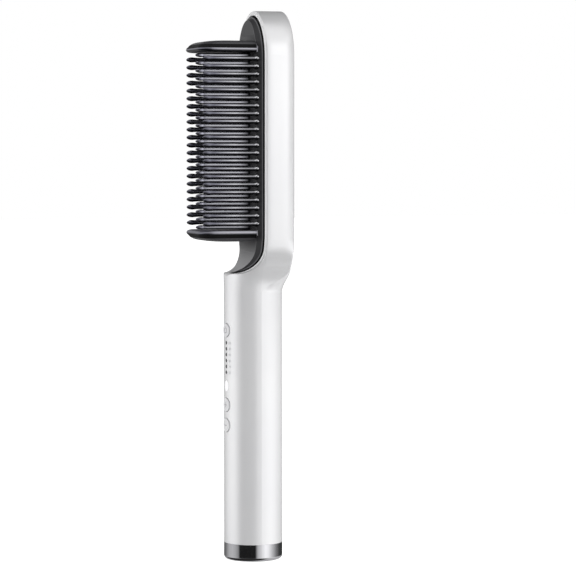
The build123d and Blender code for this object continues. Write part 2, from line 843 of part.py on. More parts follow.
# Tact switches on the board, one behind each button
with BuildPart() as switch_bodies:
    with BuildSketch(on_control(board_front)):
        with Locations(*[(0, z) for z in button_heights]):
            Rectangle(switch_side, switch_side)
    extrude(amount=switch_height)
    with BuildSketch(on_control(switch_front)):
        with Locations(*[(0, z) for z in button_heights]):
            Circle(plunger_radius + plunger_clearance)
    extrude(amount=-(plunger_grip + button_travel + 0.1), mode=Mode.SUBTRACT)
switch_bodies.part.label = "switch_bodies"
export_step(switch_bodies.part, "parts/switch_bodies.step")


# Light guide: a bar behind the wall with one round pin through it for each light
with BuildPart() as light_guide:
    led_middle_z = led_top_z - (led_count - 1) / 2 * led_pitch
    with BuildSketch(on_control(guide_back)):
        with Locations(*[(0, z) for z in led_heights]):
            Circle(led_radius)
    extrude(amount=handle_radius + 1 - guide_back)
    with BuildSketch(Plane.XY.offset(led_middle_z - led_count * led_pitch)):
        Circle(handle_radius)
    extrude(amount=2 * led_count * led_pitch, mode=Mode.INTERSECT)
    with BuildSketch(on_control(guide_back)):
        with Locations((0, led_middle_z)):
            RectangleRounded(guide_bar_width, led_count * led_pitch + guide_bar_margin,
                             guide_bar_width / 3)
    extrude(amount=guide_bar)
light_guide.part.label = "light_guide"
export_step(light_guide.part, "parts/light_guide.step")


# Light chips on the board, behind the guide and behind the lens
with BuildPart() as led_chips:
    with BuildSketch(on_control(board_front)):
        with Locations(*[(0, z) for z in led_heights + [lens_z]]):
            Rectangle(led_chip_width, led_chip_height)
    extrude(amount=guide_back - stack_gap - board_front)
led_chips.part.label = "led_chips"
export_step(led_chips.part, "parts/led_chips.step")


# Status lens: an oval window with a foot behind the wall
with BuildPart() as status_lens:
    with BuildSketch(on_control(guide_back)):
        with Locations((0, lens_z)):
            Ellipse(lens_width / 2, lens_height / 2)
    extrude(amount=handle_radius + 1 - guide_back)
    with BuildSketch(Plane.XY.offset(lens_z - lens_height)):
        Circle(handle_radius + 0.05)
    extrude(amount=2 * lens_height, mode=Mode.INTERSECT)
    with BuildSketch(on_control(guide_back)):
        with Locations((0, lens_z)):
            Ellipse(lens_width / 2 + lens_foot, lens_height / 2 + lens_foot)
    extrude(amount=guide_bar)
status_lens.part.label = "status_lens"
export_step(status_lens.part, "parts/status_lens.step")


# Control board
with BuildPart() as control_board:
    with BuildSketch(on_control(board_back)):
        with Locations((0, (board_bottom + board_top) / 2)):
            RectangleRounded(2 * board_half_width, board_top - board_bottom, 1.5)
        with Locations((0, lower_bar_z), (0, upper_bar_z)):
            Circle(screw_shank_radius + 0.1, mode=Mode.SUBTRACT)
    extrude(amount=board_thickness)
control_board.part.label = "control_board"
export_step(control_board.part, "parts/control_board.step")

with BuildPart() as board_screws:
    with BuildSketch(on_control(board_front)):
        with Locations((0, lower_bar_z), (0, upper_bar_z)):
            Circle(board_screw_head_radius)
    extrude(amount=screw_head)
    with BuildSketch(on_control(board_front)):
        with Locations((0, lower_bar_z), (0, upper_bar_z)):
            Circle(screw_shank_radius)
    extrude(amount=-(board_thickness + chassis_bar_depth - 0.4))
board_screws.part.label = "board_screws"
export_step(board_screws.part, "parts/board_screws.step")


# Chassis: a half-round tray that carries the board on its two edges and two bars
lip_inner = board_half_width - chassis_lip_width / 2
with BuildPart() as chassis:
    with BuildSketch(on_handle_section(chassis_bottom)):
        Circle(chassis_radius)
        Circle(chassis_radius - chassis_wall, mode=Mode.SUBTRACT)
        with Locations((0, chassis_front + chassis_radius)):
            Rectangle(4 * chassis_radius, 2 * chassis_radius, mode=Mode.SUBTRACT)
        with Locations(*[(side * (lip_inner + chassis_radius) / 2, chassis_front - chassis_lip / 2)
                         for side in (-1, 1)]):
            Rectangle(chassis_radius - lip_inner, chassis_lip)
        Circle(chassis_radius, mode=Mode.INTERSECT)
    extrude(amount=chassis_top - chassis_bottom)
    for bar_z in (lower_bar_z, upper_bar_z):
        with BuildSketch(on_handle_section(bar_z - chassis_bar_height / 2)):
            with Locations((0, chassis_front - chassis_bar_depth / 2)):
                Rectangle(2 * board_half_width, chassis_bar_depth)
        extrude(amount=chassis_bar_height)
    with BuildSketch(on_control(chassis_front)):
        with Locations((0, lower_bar_z), (0, upper_bar_z)):
            Circle(screw_shank_radius + screw_clearance)
    extrude(amount=-chassis_bar_depth, mode=Mode.SUBTRACT)
chassis.part.label = "chassis"
export_step(chassis.part, "parts/chassis.step")


# Components on the back of the board
with BuildPart() as terminal_blocks:
    with BuildSketch(on_control(board_back)):
        with Locations((0, mains_block_z), (0, heater_block_z)):
            Rectangle(2 * block_half_width, block_height)
    extrude(amount=-block_depth)
terminal_blocks.part.label = "terminal_blocks"
export_step(terminal_blocks.part, "parts/terminal_blocks.step")

with BuildPart() as film_capacitor:
    with BuildSketch(on_control(board_back)):
        with Locations((0, capacitor_z)):
            RectangleRounded(capacitor_width, capacitor_height, 1.0)
    extrude(amount=-capacitor_depth)
film_capacitor.part.label = "film_capacitor"
export_step(film_capacitor.part, "parts/film_capacitor.step")

with BuildPart() as fuse_tube:
    fuse_start = outward * (board_back - fuse_radius - stack_gap) - across * (fuse_length / 2)
    with BuildSketch(Plane(origin=fuse_start + Vector(0, 0, fuse_z), z_dir=across)):
        Circle(fuse_radius)
    extrude(amount=fuse_length)
fuse_tube.part.label = "fuse_tube"
export_step(fuse_tube.part, "parts/fuse_tube.step")

with BuildPart() as power_triac:
    with BuildSketch(on_control(board_back)):
        with Locations((0, triac_bottom + triac_tab_height / 2)):
            Rectangle(triac_width, triac_tab_height)
    extrude(amount=-triac_tab)
    with BuildSketch(on_control(board_back)):
        with Locations((0, triac_bottom + triac_body_height / 2)):
            Rectangle(triac_width, triac_body_height)
    extrude(amount=-triac_body)
power_triac.part.label = "power_triac"
export_step(power_triac.part, "parts/power_triac.step")

with BuildPart() as microcontroller:
    with BuildSketch(on_control(board_back)):
        with Locations((0, chip_z)):
            Rectangle(chip_side, chip_side)
    extrude(amount=-chip_depth)
microcontroller.part.label = "microcontroller"
export_step(microcontroller.part, "parts/microcontroller.step")


def wire(points, radius):
    """Round wire along straight runs with wide bends between them."""
    with BuildPart(mode=Mode.PRIVATE) as body:
        with BuildLine() as route:
            if len(points) > 2:
                FilletPolyline(*points, radius=wire_bend)
            else:
                Line(*points)
        start = Plane(origin=points[0], z_dir=Vector(points[1]) - Vector(points[0]))
        with BuildSketch(start):
            Circle(radius)
        sweep(path=route.line)
    return body.part


def in_handle(x, depth, z):
    """Point of the turned board frame, in the brush's own axes."""
    place = across * x + outward * depth
    return (place.X, place.Y, z)


# Leads inside the brush, each held at both ends
block_top = heater_block_z + block_height / 2
with BuildPart() as heater_leads:
    for x in (-heater_lead_x, heater_lead_x):
        add(wire([in_handle(x, heater_lead_depth, block_top),
                  in_handle(x, heater_lead_depth, lead_turn_z),
                  (x, lead_y, lead_straight_z),
                  (x, lead_y, tab_z - tab_height / 2)],
                 lead_radius))
heater_leads.part.label = "heater_leads"
export_step(heater_leads.part, "parts/heater_leads.step")

with BuildPart() as thermistor_leads:
    for x in (-thin_lead_x, thin_lead_x):
        add(wire([in_handle(x, heater_lead_depth, block_top),
                  in_handle(x, heater_lead_depth, lead_turn_z),
                  (x, lead_y, lead_straight_z),
                  (x, lead_y, comb_centre_z + thermistor_rise - thermistor_height / 2)],
                 thin_lead_radius))
thermistor_leads.part.label = "thermistor_leads"
export_step(thermistor_leads.part, "parts/thermistor_leads.step")

with BuildPart() as mains_leads:
    for x in (-mains_lead_x, mains_lead_x):
        add(wire([in_handle(x, mains_lead_depth, carrier_top),
                  in_handle(x, mains_lead_depth, mains_block_z - block_height / 2)],
                 lead_radius))
mains_leads.part.label = "mains_leads"
export_step(mains_leads.part, "parts/mains_leads.step")


# End cap: a shallow cup with a spigot that plugs the handle
with BuildPart() as end_cap:
    with BuildSketch(Plane.XY):
        Circle(handle_radius)
    extrude(amount=cap_height)
    fillet(end_cap.edges().filter_by(lambda e: e.center().Z < 0.01), cap_edge_round)
    with BuildSketch(Plane.XY.offset(cap_height)):
        Circle(spigot_radius)
    extrude(amount=spigot_height)
    with BuildSketch(Plane.XY):
        Circle(gland_radius + gland_clearance)
    extrude(amount=cap_floor, mode=Mode.SUBTRACT)
    with BuildSketch(Plane.XY.offset(cap_floor)):
        Circle(gland_flange_radius + gland_flange_clearance)
    extrude(amount=retainer_z - cap_floor, mode=Mode.SUBTRACT)
    with BuildSketch(Plane.XY.offset(retainer_z)):
        Circle(cap_bore_radius)
    extrude(amount=cap_height + spigot_height - retainer_z, mode=Mode.SUBTRACT)
end_cap.part.label = "end_cap"
export_step(end_cap.part, "parts/end_cap.step")


# Cord swivel: a spool that turns in the cap's floor, bored for the cord
with BuildPart() as swivel_gland:
    with BuildSketch(Plane.XZ):
        with BuildLine():
            Polyline(
                (cord_bore_radius, 0), (gland_radius, 0),
                (gland_radius, gland_flange_z), (gland_flange_radius, gland_flange_z),
                (gland_flange_radius, gland_flange_z + gland_flange),
                (gland_stem_radius, gland_flange_z + gland_flange),
                (gland_stem_radius, gland_top), (cord_bore_radius, gland_top), close=True,
            )
        make_face()
    revolve(axis=Axis.Z)
swivel_gland.part.label = "swivel_gland"
export_step(swivel_gland.part, "parts/swivel_gland.step")

with BuildPart() as slip_rings:
    for ring_z in (lower_ring_z, upper_ring_z):
        with BuildSketch(Plane.XY.offset(ring_z - ring_height / 2)):
            Circle(gland_stem_radius + ring_thickness)
            Circle(gland_stem_radius, mode=Mode.SUBTRACT)
        extrude(amount=ring_height)
slip_rings.part.label = "slip_rings"
export_step(slip_rings.part, "parts/slip_rings.step")

with BuildPart() as swivel_retainer:
    with BuildSketch(Plane.XY.offset(retainer_z)):
        Circle(cap_bore_radius - spigot_clearance)
        Circle(gland_stem_radius + 0.6, mode=Mode.SUBTRACT)
    extrude(amount=retainer_thickness)
swivel_retainer.part.label = "swivel_retainer"
export_step(swivel_retainer.part, "parts/swivel_retainer.step")

with BuildPart() as contact_carrier:
    with BuildSketch(Plane.XY.offset(carrier_z)):
        Circle(cap_bore_radius - spigot_clearance)
        Circle(carrier_bore_radius, mode=Mode.SUBTRACT)
    extrude(amount=carrier_top - carrier_z)
    with BuildSketch(Plane.XY.offset(carrier_top - carrier_flange)):
        Circle(chassis_radius)
        Circle(carrier_bore_radius, mode=Mode.SUBTRACT)
    extrude(amount=carrier_flange)
contact_carrier.part.label = "contact_carrier"
export_step(contact_carrier.part, "parts/contact_carrier.step")

with BuildPart() as spring_contacts:
    ring_radius = gland_stem_radius + ring_thickness
    for side, ring_z in ((1, lower_ring_z), (-1, upper_ring_z)):
        with BuildSketch(Plane.XY.offset(ring_z - 0.5)):
            with Locations((side * (ring_radius + stack_gap + contact_thickness / 2), 0)):
                Rectangle(contact_thickness, contact_width)
            with Locations((side * (ring_radius + carrier_bore_radius) / 2, 0)):
                Rectangle(carrier_bore_radius - ring_radius - 2 * stack_gap, contact_width / 2)
        extrude(amount=1.0)
spring_contacts.part.label = "spring_contacts"
export_step(spring_contacts.part, "parts/spring_contacts.step")
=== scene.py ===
"""Looks of a hair straightening brush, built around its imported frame."""
import logging
import math
from dataclasses import dataclass, field
from enum import Enum

import bmesh
import bpy
from bpy.types import ID, Material, Node, NodeSocket, NodeTree, Object
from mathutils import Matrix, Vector


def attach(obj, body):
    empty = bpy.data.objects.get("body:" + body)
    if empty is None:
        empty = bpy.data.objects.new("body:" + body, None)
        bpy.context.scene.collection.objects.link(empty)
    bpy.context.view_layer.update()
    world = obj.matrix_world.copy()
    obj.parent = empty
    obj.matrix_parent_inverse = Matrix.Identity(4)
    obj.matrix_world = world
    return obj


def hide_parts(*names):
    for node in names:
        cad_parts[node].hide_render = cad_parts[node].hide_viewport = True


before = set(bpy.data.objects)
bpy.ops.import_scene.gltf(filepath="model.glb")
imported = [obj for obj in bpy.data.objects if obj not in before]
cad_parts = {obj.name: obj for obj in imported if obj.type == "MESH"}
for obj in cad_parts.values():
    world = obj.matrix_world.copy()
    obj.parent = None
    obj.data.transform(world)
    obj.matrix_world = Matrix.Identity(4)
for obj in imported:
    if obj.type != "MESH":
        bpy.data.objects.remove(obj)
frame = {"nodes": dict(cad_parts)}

LOG = logging.getLogger("straightening_brush")
MM = 0.001
MAIN_BODY = "brush"
# Corners of a mesh that lie closer than this, in metres, become one
MERGE_DISTANCE = 1e-7
# A flat bar's largest corner, as shares of its half width and half thickness, and the strip
# beside each corner that holds the flat side level, as a share of the corner
BAR_CORNER_LIMITS = (0.45, 0.6)
BAR_PAD = 0.25
# How much longer than wide the lines of a brushed surface are drawn
BRUSHED_STRETCH = (1.0, 1.0, 0.03)
# Shares of the soft noise between which one colour drifts to the other
DRIFT_EDGES = (0.35, 0.65)
# Upward part of the normal where painted shade on the undersides begins, and where it is full
UNDERSIDE_SHADE_EDGES = (0.1, -0.35)
LEAST_ROUGHNESS = 0.02
COAT_ROUGHNESS = 0.04
# Height of the middle of the back's two ovals, and half the length of their straight sides
BEZEL_OVAL = (217.95, 48.05)
PANEL_OVAL = (217.75, 46.75)


def linear(colour: str) -> tuple[float, float, float, float]:
    """Turn an sRGB hex colour into the linear RGBA that the shaders take.

    Args:
        colour: a colour written as #RRGGBB.

    Returns:
        Linear red, green and blue, and an alpha of one.
    """
    shares = [int(colour[place:place + 2], 16) / 255 for place in (1, 3, 5)]
    rgb = [s / 12.92 if s <= 0.04045 else ((s + 0.055) / 1.055) ** 2.4 for s in shares]
    return (rgb[0], rgb[1], rgb[2], 1.0)


def add_node(tree: NodeTree, kind: str, inputs: dict | None = None,
             **settings: object) -> Node:
    """Add a node to a tree with its settings, values and links.

    Args:
        tree: the tree that gets the node.
        kind: the node's type name.
        inputs: for each input, by name or number, a value or a socket to link from.
        **settings: properties of the node itself.

    Returns:
        The new node.
    """
    node = tree.nodes.new(kind)
    for name, value in settings.items():
        setattr(node, name, value)
    for key, value in (inputs or {}).items():
        if isinstance(value, NodeSocket):
            tree.links.new(value, node.inputs[key])
        else:
            node.inputs[key].default_value = value
    return node


def empty_tree(owner: ID) -> NodeTree:
    """Clear the node tree of a material or a world.

    Args:
        owner: the material or world.

    Returns:
        Its empty node tree.
    """
    owner.use_nodes = True
    owner.node_tree.nodes.clear()
    return owner.node_tree


def put(name: str, data: ID) -> Object:
    """Stand a new object in the scene.

    Args:
        name: the object's name.
        data: its mesh, text, light or camera.

    Returns:
        The object, at the origin.
    """
    made = bpy.data.objects.new(name, data)
    bpy.context.scene.collection.objects.link(made)
    return made


class Surface(Enum):
    """How a surface was made, which decides its fine pattern."""

    MOULDED = "moulded in a polished tool"
    ERODED = "moulded in a spark eroded tool"
    BRUSHED = "brushed or rolled along its length"
    PLATED = "plated or glazed"
    METALLIC = "sprayed with metallic flakes"
    LAYERED = "built of flakes or layers"
    TRACKED = "etched with copper tracks under a mask"


class Measure(Enum):
    """What the place of a painted tone goes by."""

    DEPTH = "place along Y, front to back"
    HEIGHT = "height above the foot"
    SIDE = "distance from the middle plane"
    END = "distance from the oval's middle, along it"
    EDGE = "distance from the oval's spine"


@dataclass(frozen=True)
class PaintedTone:
    """Painted light and shade, as a second colour that a finish passes into.

    Args:
        measure: what its place goes by.
        start: where it begins, in mm.
        end: where it is reached, in mm.
        colour: the colour there, sRGB hex.
        middle: height of the oval's middle, in mm.
        straight: half the length of the oval's straight sides, in mm.
    """

    measure: Measure
    start: float
    end: float
    colour: str
    middle: float = 0.0
    straight: float = 0.0

    def place(self, tree: NodeTree, place: NodeSocket) -> NodeSocket:
        """The measure at each point, in metres.

        Args:
            tree: the material's node tree.
            place: Object coordinates in metres.

        Returns:
            The socket that gives the measure.
        """
        axes = add_node(tree, "ShaderNodeSeparateXYZ", {"Vector": place}).outputs
        if self.measure is Measure.DEPTH:
            return axes["Y"]
        if self.measure is Measure.HEIGHT:
            return axes["Z"]
        if self.measure is Measure.SIDE:
            return add_node(tree, "ShaderNodeMath", {0: axes["X"]}, operation="ABSOLUTE").outputs[0]
        above = add_node(tree, "ShaderNodeMath", {
            0: axes["Z"], 1: self.middle * MM}, operation="SUBTRACT")
        along = add_node(tree, "ShaderNodeMath", {0: above.outputs[0]}, operation="ABSOLUTE")
        if self.measure is Measure.END:
            return along.outputs[0]
        past = add_node(tree, "ShaderNodeMath", {
            0: along.outputs[0], 1: self.straight * MM}, operation="SUBTRACT")
        beyond = add_node(tree, "ShaderNodeMath", {0: past.outputs[0], 1: 0.0},
                          operation="MAXIMUM")
        arm = add_node(tree, "ShaderNodeCombineXYZ", {0: axes["X"], 2: beyond.outputs[0]})
        return add_node(tree, "ShaderNodeVectorMath", {0: arm.outputs[0]},
                        operation="LENGTH").outputs["Value"]


@dataclass(frozen=True)
class Crown:
    """Relief of a side wall that falls away towards its edges, sized in mm.

    Args:
        middle: where the middle of the wall lies along Y.
        half_width: how far its edges lie from there.
        drop: how far the edges fall away.
        start: height above which the wall is crowned.
        ramp: height over which the crown comes in.
    """

    middle: float
    half_width: float
    drop: float
    start: float
    ramp: float

    def relief(self, tree: NodeTree, place: NodeSocket) -> Node:
        """Add the relief to a material.

        Args:
            tree: the material's node tree.
            place: Object coordinates in metres.

        Returns:
            The bump node, whose normal the finer relief builds on.
        """
        axes = add_node(tree, "ShaderNodeSeparateXYZ", {"Vector": place})
        across = add_node(tree, "ShaderNodeMapRange", {
            "Value": axes.outputs["Y"], "From Min": (self.middle - self.half_width) * MM,
            "From Max": (self.middle + self.half_width) * MM, "To Min": -1.0, "To Max": 1.0},
            clamp=False)
        fall = across.outputs["Result"]
        # Squared twice, so that the middle stays flat
        for _ in range(2):
            fall = add_node(tree, "ShaderNodeMath", {0: fall, 1: fall},
                            operation="MULTIPLY").outputs[0]
        above = add_node(tree, "ShaderNodeMapRange", {
            "Value": axes.outputs["Z"], "From Min": self.start * MM,
            "From Max": (self.start + self.ramp) * MM, "To Max": -1.0},
            interpolation_type="SMOOTHSTEP")
        height = add_node(tree, "ShaderNodeMath", {0: fall, 1: above.outputs["Result"]},
                          operation="MULTIPLY")
        return add_node(tree, "ShaderNodeBump", {
            "Height": height.outputs[0], "Distance": self.drop * MM})


@dataclass(frozen=True)
class Finish:
    """A real material and its surface, as a procedural shader.

    Args:
        name: the material's plain name.
        colour: its main colour, sRGB hex.
        shade: the colour that it drifts to in soft patches, sRGB hex.
        roughness: the middle of its roughness.
        surface: how the surface was made.
        metallic: 1 for bare or plated metal.
        ior: index of refraction.
        coat: weight of a clear coat.
        grain_mm: size of its fine pattern.
        relief_mm: height of that pattern.
        patch_mm: size of the patches in which colour and gloss drift.
        spread: how far roughness drifts either way.
        tones: painted highlights, reflections and shade that it passes into, one over the other.
        painted_underside: colour of the painted shade on the faces that look down.
        glow: how strongly it glows, as painted light.
        edge_mm: radius to which its moulded edges are rounded.
        crown: the crown of its side walls.
    """

    name: str
    colour: str
    shade: str
    roughness: float
    surface: Surface = Surface.MOULDED
    metallic: float = 0.0
    ior: float = 1.5
    coat: float = 0.0
    grain_mm: float = 0.8
    relief_mm: float = 0.002
    patch_mm: float = 24.0
    spread: float = 0.03
    tones: tuple[PaintedTone, ...] = ()
    painted_underside: str | None = None
    glow: float = 0.0
    edge_mm: float = 0.0
    crown: Crown | None = None

    def pattern(self, tree: NodeTree, place: NodeSocket) -> NodeSocket:
        """Fine pattern of the surface, from 0 to 1.

        Args:
            tree: the material's node tree.
            place: Object coordinates in metres.

        Returns:
            The socket that gives the pattern.
        """
        scale = 1 / (self.grain_mm * MM)
        if self.surface is Surface.BRUSHED:
            drawn = add_node(tree, "ShaderNodeMapping", {"Vector": place, "Scale": BRUSHED_STRETCH})
            return add_node(tree, "ShaderNodeTexNoise", {
                "Vector": drawn.outputs["Vector"], "Scale": scale, "Detail": 3.0}).outputs["Fac"]
        if self.surface in (Surface.METALLIC, Surface.LAYERED):
            return add_node(tree, "ShaderNodeTexVoronoi", {
                "Vector": place, "Scale": scale}).outputs["Distance"]
        if self.surface is Surface.TRACKED:
            return add_node(tree, "ShaderNodeTexBrick", {
                "Vector": place, "Scale": scale, "Mortar Size": 0.06}).outputs["Fac"]
        detail = 4.0 if self.surface is Surface.ERODED else 1.0
        return add_node(tree, "ShaderNodeTexNoise", {
            "Vector": place, "Scale": scale, "Detail": detail}).outputs["Fac"]

    def material(self) -> Material:
        """Make the material once, and return it.

        Returns:
            The Blender material.
        """
        known = bpy.data.materials.get(self.name)
        if known is not None:
            return known
        made = bpy.data.materials.new(self.name)
        tree = empty_tree(made)
        place = add_node(tree, "ShaderNodeTexCoord").outputs["Object"]
        patches = add_node(tree, "ShaderNodeTexNoise", {
            "Vector": place, "Scale": 1 / (self.patch_mm * MM), "Detail": 2.0})
        layers = [(patches.outputs["Fac"], DRIFT_EDGES, self.shade)]
        # The tones lay painted light and shade over the colour
        layers += [(tone.place(tree, place), (tone.start * MM, tone.end * MM), tone.colour)
                   for tone in self.tones]
        # Painted shade on the faces that look down
        if self.painted_underside is not None:
            facing = add_node(tree, "ShaderNodeNewGeometry").outputs["Normal"]
            axes = add_node(tree, "ShaderNodeSeparateXYZ", {"Vector": facing})
            layers.append((axes.outputs["Z"], UNDERSIDE_SHADE_EDGES, self.painted_underside))
        colour = linear(self.colour)
        for measure, (start, end), next_colour in layers:
            share = add_node(tree, "ShaderNodeMapRange", {
                "Value": measure, "From Min": start, "From Max": end})
            colour = add_node(tree, "ShaderNodeMix", {
                "Factor": share.outputs["Result"], 6: colour, 7: linear(next_colour)},
                data_type="RGBA").outputs[2]
        pattern = self.pattern(tree, place)
        gloss = add_node(tree, "ShaderNodeMapRange", {
            "Value": pattern, "To Min": max(self.roughness - self.spread, LEAST_ROUGHNESS),
            "To Max": self.roughness + self.spread})
        relief = add_node(tree, "ShaderNodeBump", {
            "Height": pattern, "Strength": 1.0, "Distance": self.relief_mm * MM})
        if self.edge_mm:
            edges = add_node(tree, "ShaderNodeBevel", {"Radius": self.edge_mm * MM}, samples=4)
            tree.links.new(edges.outputs["Normal"], relief.inputs["Normal"])
            if self.crown is not None:
                wide = self.crown.relief(tree, place)
                tree.links.new(edges.outputs["Normal"], wide.inputs["Normal"])
                tree.links.new(wide.outputs["Normal"], relief.inputs["Normal"])
        shader = add_node(tree, "ShaderNodeBsdfPrincipled", {
            "Base Color": colour, "Roughness": gloss.outputs["Result"],
            "Normal": relief.outputs["Normal"], "Metallic": self.metallic, "IOR": self.ior,
            "Coat Weight": self.coat, "Coat Roughness": COAT_ROUGHNESS,
            "Emission Color": linear("#FFFFFF"), "Emission Strength": self.glow})
        add_node(tree, "ShaderNodeOutputMaterial", {"Surface": shader.outputs["BSDF"]})
        return made


# Pearl white lacquer over ABS: fine mica gives its soft metallic sheen under the gloss
SHELL_WHITE = Finish("pearl_white_lacquer", "#F0F0F1", "#ECECEE", 0.24, metallic=0.28, ior=1.5,
                     grain_mm=9.0, relief_mm=0.003, patch_mm=60.0, spread=0.02, edge_mm=0.3,
                     crown=Crown(middle=6.5, half_width=9.0, drop=1.4, start=158.0, ramp=14.0))
# The shell's rim bead, polished, in a whiter white that paints its highlight: the line that frames
# the insert
RIM_WHITE = Finish("polished_white_abs_painted_highlight", "#FAFAFB", "#F7F7F8", 0.16, ior=1.53, grain_mm=6.0)
# Satin white ABS: soft highlights that set the keys off from the gloss shell
KEY_WHITE = Finish("satin_white_abs", "#EAEAEB", "#E4E4E6", 0.3, Surface.ERODED, ior=1.53,
                   grain_mm=0.5, relief_mm=0.004)
# Black chrome plating on ABS: mirror bright, dark between its reflections
BLACK_CHROME = Finish("black_chrome_plating", "#C4C4C7", "#BCBCBF", 0.035, Surface.PLATED,
                      metallic=1.0, grain_mm=6.0, relief_mm=0.001, spread=0.01)
# Matte black nylon: dry and slightly grainy
BLACK_NYLON = Finish("black_glass_filled_nylon", "#1C1C1D", "#242425", 0.6, Surface.ERODED,
                     grain_mm=0.6, relief_mm=0.01, spread=0.08)
# Rolled brass strip: warm, with fine lines along its length
BRASS = Finish("rolled_brass", "#D8B469", "#C9A45A", 0.28, Surface.BRUSHED, metallic=1.0,
               grain_mm=0.3, relief_mm=0.003)
# Unpigmented ABS: warm off-white of inner mouldings
NATURAL_ABS = Finish("natural_abs", "#E2DED3", "#D9D5C9", 0.45, Surface.ERODED, grain_mm=0.7,
                     relief_mm=0.008)
# Glass epoxy board under green mask: tracks show as a fine relief
BOARD_GREEN = Finish("green_masked_glass_epoxy", "#1F6B3C", "#1A5E34", 0.35, Surface.TRACKED,
                     grain_mm=4.0, relief_mm=0.03)
# Zinc plated steel screws: cool and a little cloudy
ZINC_STEEL = Finish("zinc_plated_steel", "#C6C8CB", "#B7B9BD", 0.3, Surface.PLATED, metallic=1.0,
                    grain_mm=0.8, relief_mm=0.003)
# Moulded black epoxy packages: dull, fine grained
BLACK_EPOXY = Finish("black_epoxy_moulding", "#1F1F20", "#272728", 0.5, Surface.ERODED,
                     grain_mm=0.4, relief_mm=0.006)
# Smoked polycarbonate: dark glassy dots
SMOKED_PC = Finish("smoked_polycarbonate", "#3A3A3D", "#333336", 0.12, ior=1.58, grain_mm=2.0)
# Pale silicone filled light packages
LIGHT_PACKAGE = Finish("pale_silicone_package", "#EFE8C6", "#E6DDB5", 0.35, grain_mm=0.8)
# Milky polycarbonate: a soft white, brightened by a faint painted glow
MILKY_PC = Finish("milky_polycarbonate", "#F7F7F9", "#F1F1F5", 0.22, ior=1.58, coat=0.3,
                  glow=0.25)
# Green polyamide terminal blocks
TERMINAL_GREEN = Finish("green_polyamide", "#2F8A44", "#287A3B", 0.45, Surface.ERODED)
# Yellow polyester box of the film capacitor
CAPACITOR_YELLOW = Finish("yellow_polyester_box", "#D9AE2C", "#CFA325", 0.35)
# Glazed steatite tube of the fuse
GLAZED_CERAMIC = Finish("glazed_steatite", "#EDEBE3", "#E6E3D8", 0.15, Surface.PLATED, coat=0.5)
# Silicone rubber lead insulation: soft satin red
SILICONE_RED = Finish("red_silicone_rubber", "#A93A30", "#9C332A", 0.5, Surface.ERODED)
# Heat resistant glass filled plastic: satin dark grey with a spark eroded grain, paler down its
# sweep to the handle: a painted highlight where that sweep turns up to the light
FRAME_GREY = Finish("satin_dark_grey_pps", "#424244", "#3D3D3F", 0.36, Surface.ERODED,
                    ior=1.2, grain_mm=0.6, relief_mm=0.008, spread=0.05,
                    tones=(PaintedTone(Measure.HEIGHT, 168.0, 155.0, "#A6A6A8"),))
# The sloping border of the insert: the same plastic, made darker by painted shade
SLOPE_SHADED_GREY = Finish("dark_grey_pps_painted_shade", "#353537", "#303032", 0.34, ior=1.2,
                    grain_mm=0.8, relief_mm=0.004)
# Its crease and the lip of its edge: the same plastic, lighter as a painted highlight
CREASE_HIGHLIGHT_GREY = Finish("pps_painted_crease_highlight", "#6A6A6D", "#646467", 0.35, ior=1.25, grain_mm=0.8)
# Painted shade, black: in the deep joint between the insert and the shell and in the guards' valley
JOINT_SHADE_BLACK = Finish("painted_shade_black_pps", "#0E0E0F", "#0B0B0C", 0.7, Surface.ERODED, ior=1.3)
# Gunmetal lacquer on heat resistant plastic: glossy teeth with a grey metallic depth. Painted
# shade darkens their drops and the faces that look down, the shafts grow darker towards the insert,
# and a painted highlight brightens the roots
TOOTH_BLACK = Finish("gunmetal_lacquer_on_pps", "#C4C4CA", "#BCBCC3", 0.24, metallic=0.85,
                     grain_mm=4.0, relief_mm=0.002, painted_underside="#1C1C20",
                     tones=(PaintedTone(Measure.DEPTH, -15.0, -26.0, "#74747F"),
                            PaintedTone(Measure.DEPTH, -15.0, -9.0, "#96969B"),
                            PaintedTone(Measure.DEPTH, -4.8, -4.0, "#DCDCE0")))
# The same lacquer on the bulge of the end guards, made darker by painted shade, with more painted
# shade towards their far ends and on the faces that look down
GUARD_SHADED_GLOSS = Finish("gunmetal_lacquer_painted_shade", "#A6A6AD", "#9E9EA6", 0.34, metallic=0.85,
                     grain_mm=4.0, relief_mm=0.002, painted_underside="#1C1C20",
                     tones=(PaintedTone(Measure.DEPTH, -22.0, -33.0, "#74747F"),))
# The same plastic left dark and satin on the outside of the guards
GUARD_SATIN = Finish("satin_dark_pps", "#4A4A4D", "#444447", 0.4, Surface.ERODED, metallic=0.3,
                     grain_mm=0.5, relief_mm=0.004)
# Ceramic coated aluminium die casting: glossy grey with a metallic depth, with painted shade at
# the roots and on the faces that look down, and a little darker on the drops
COATED_BLADE = Finish("ceramic_coated_aluminium", "#DCDCE5", "#D4D4DE", 0.1, metallic=0.95,
                      grain_mm=4.0, relief_mm=0.001, spread=0.02, painted_underside="#26262B",
                      tones=(PaintedTone(Measure.DEPTH, -8.5, -4.0, "#3C3C40"),
                             PaintedTone(Measure.DEPTH, -25.0, -27.0, "#A6A6B2")))
# Sintered alumina heater plate
ALUMINA = Finish("sintered_alumina", "#F1F0EA", "#E8E6DD", 0.5, Surface.ERODED)
# Cold rolled steel clamp: fine lines along its length
ROLLED_STEEL = Finish("cold_rolled_steel", "#B4B5B8", "#A7A8AB", 0.35, Surface.BRUSHED,
                      metallic=1.0, grain_mm=0.4, relief_mm=0.004)
# Mica sheet: pressed pearly flakes
MICA = Finish("pressed_mica", "#C5BA9C", "#B4A988", 0.4, Surface.LAYERED, grain_mm=2.5,
              relief_mm=0.02)
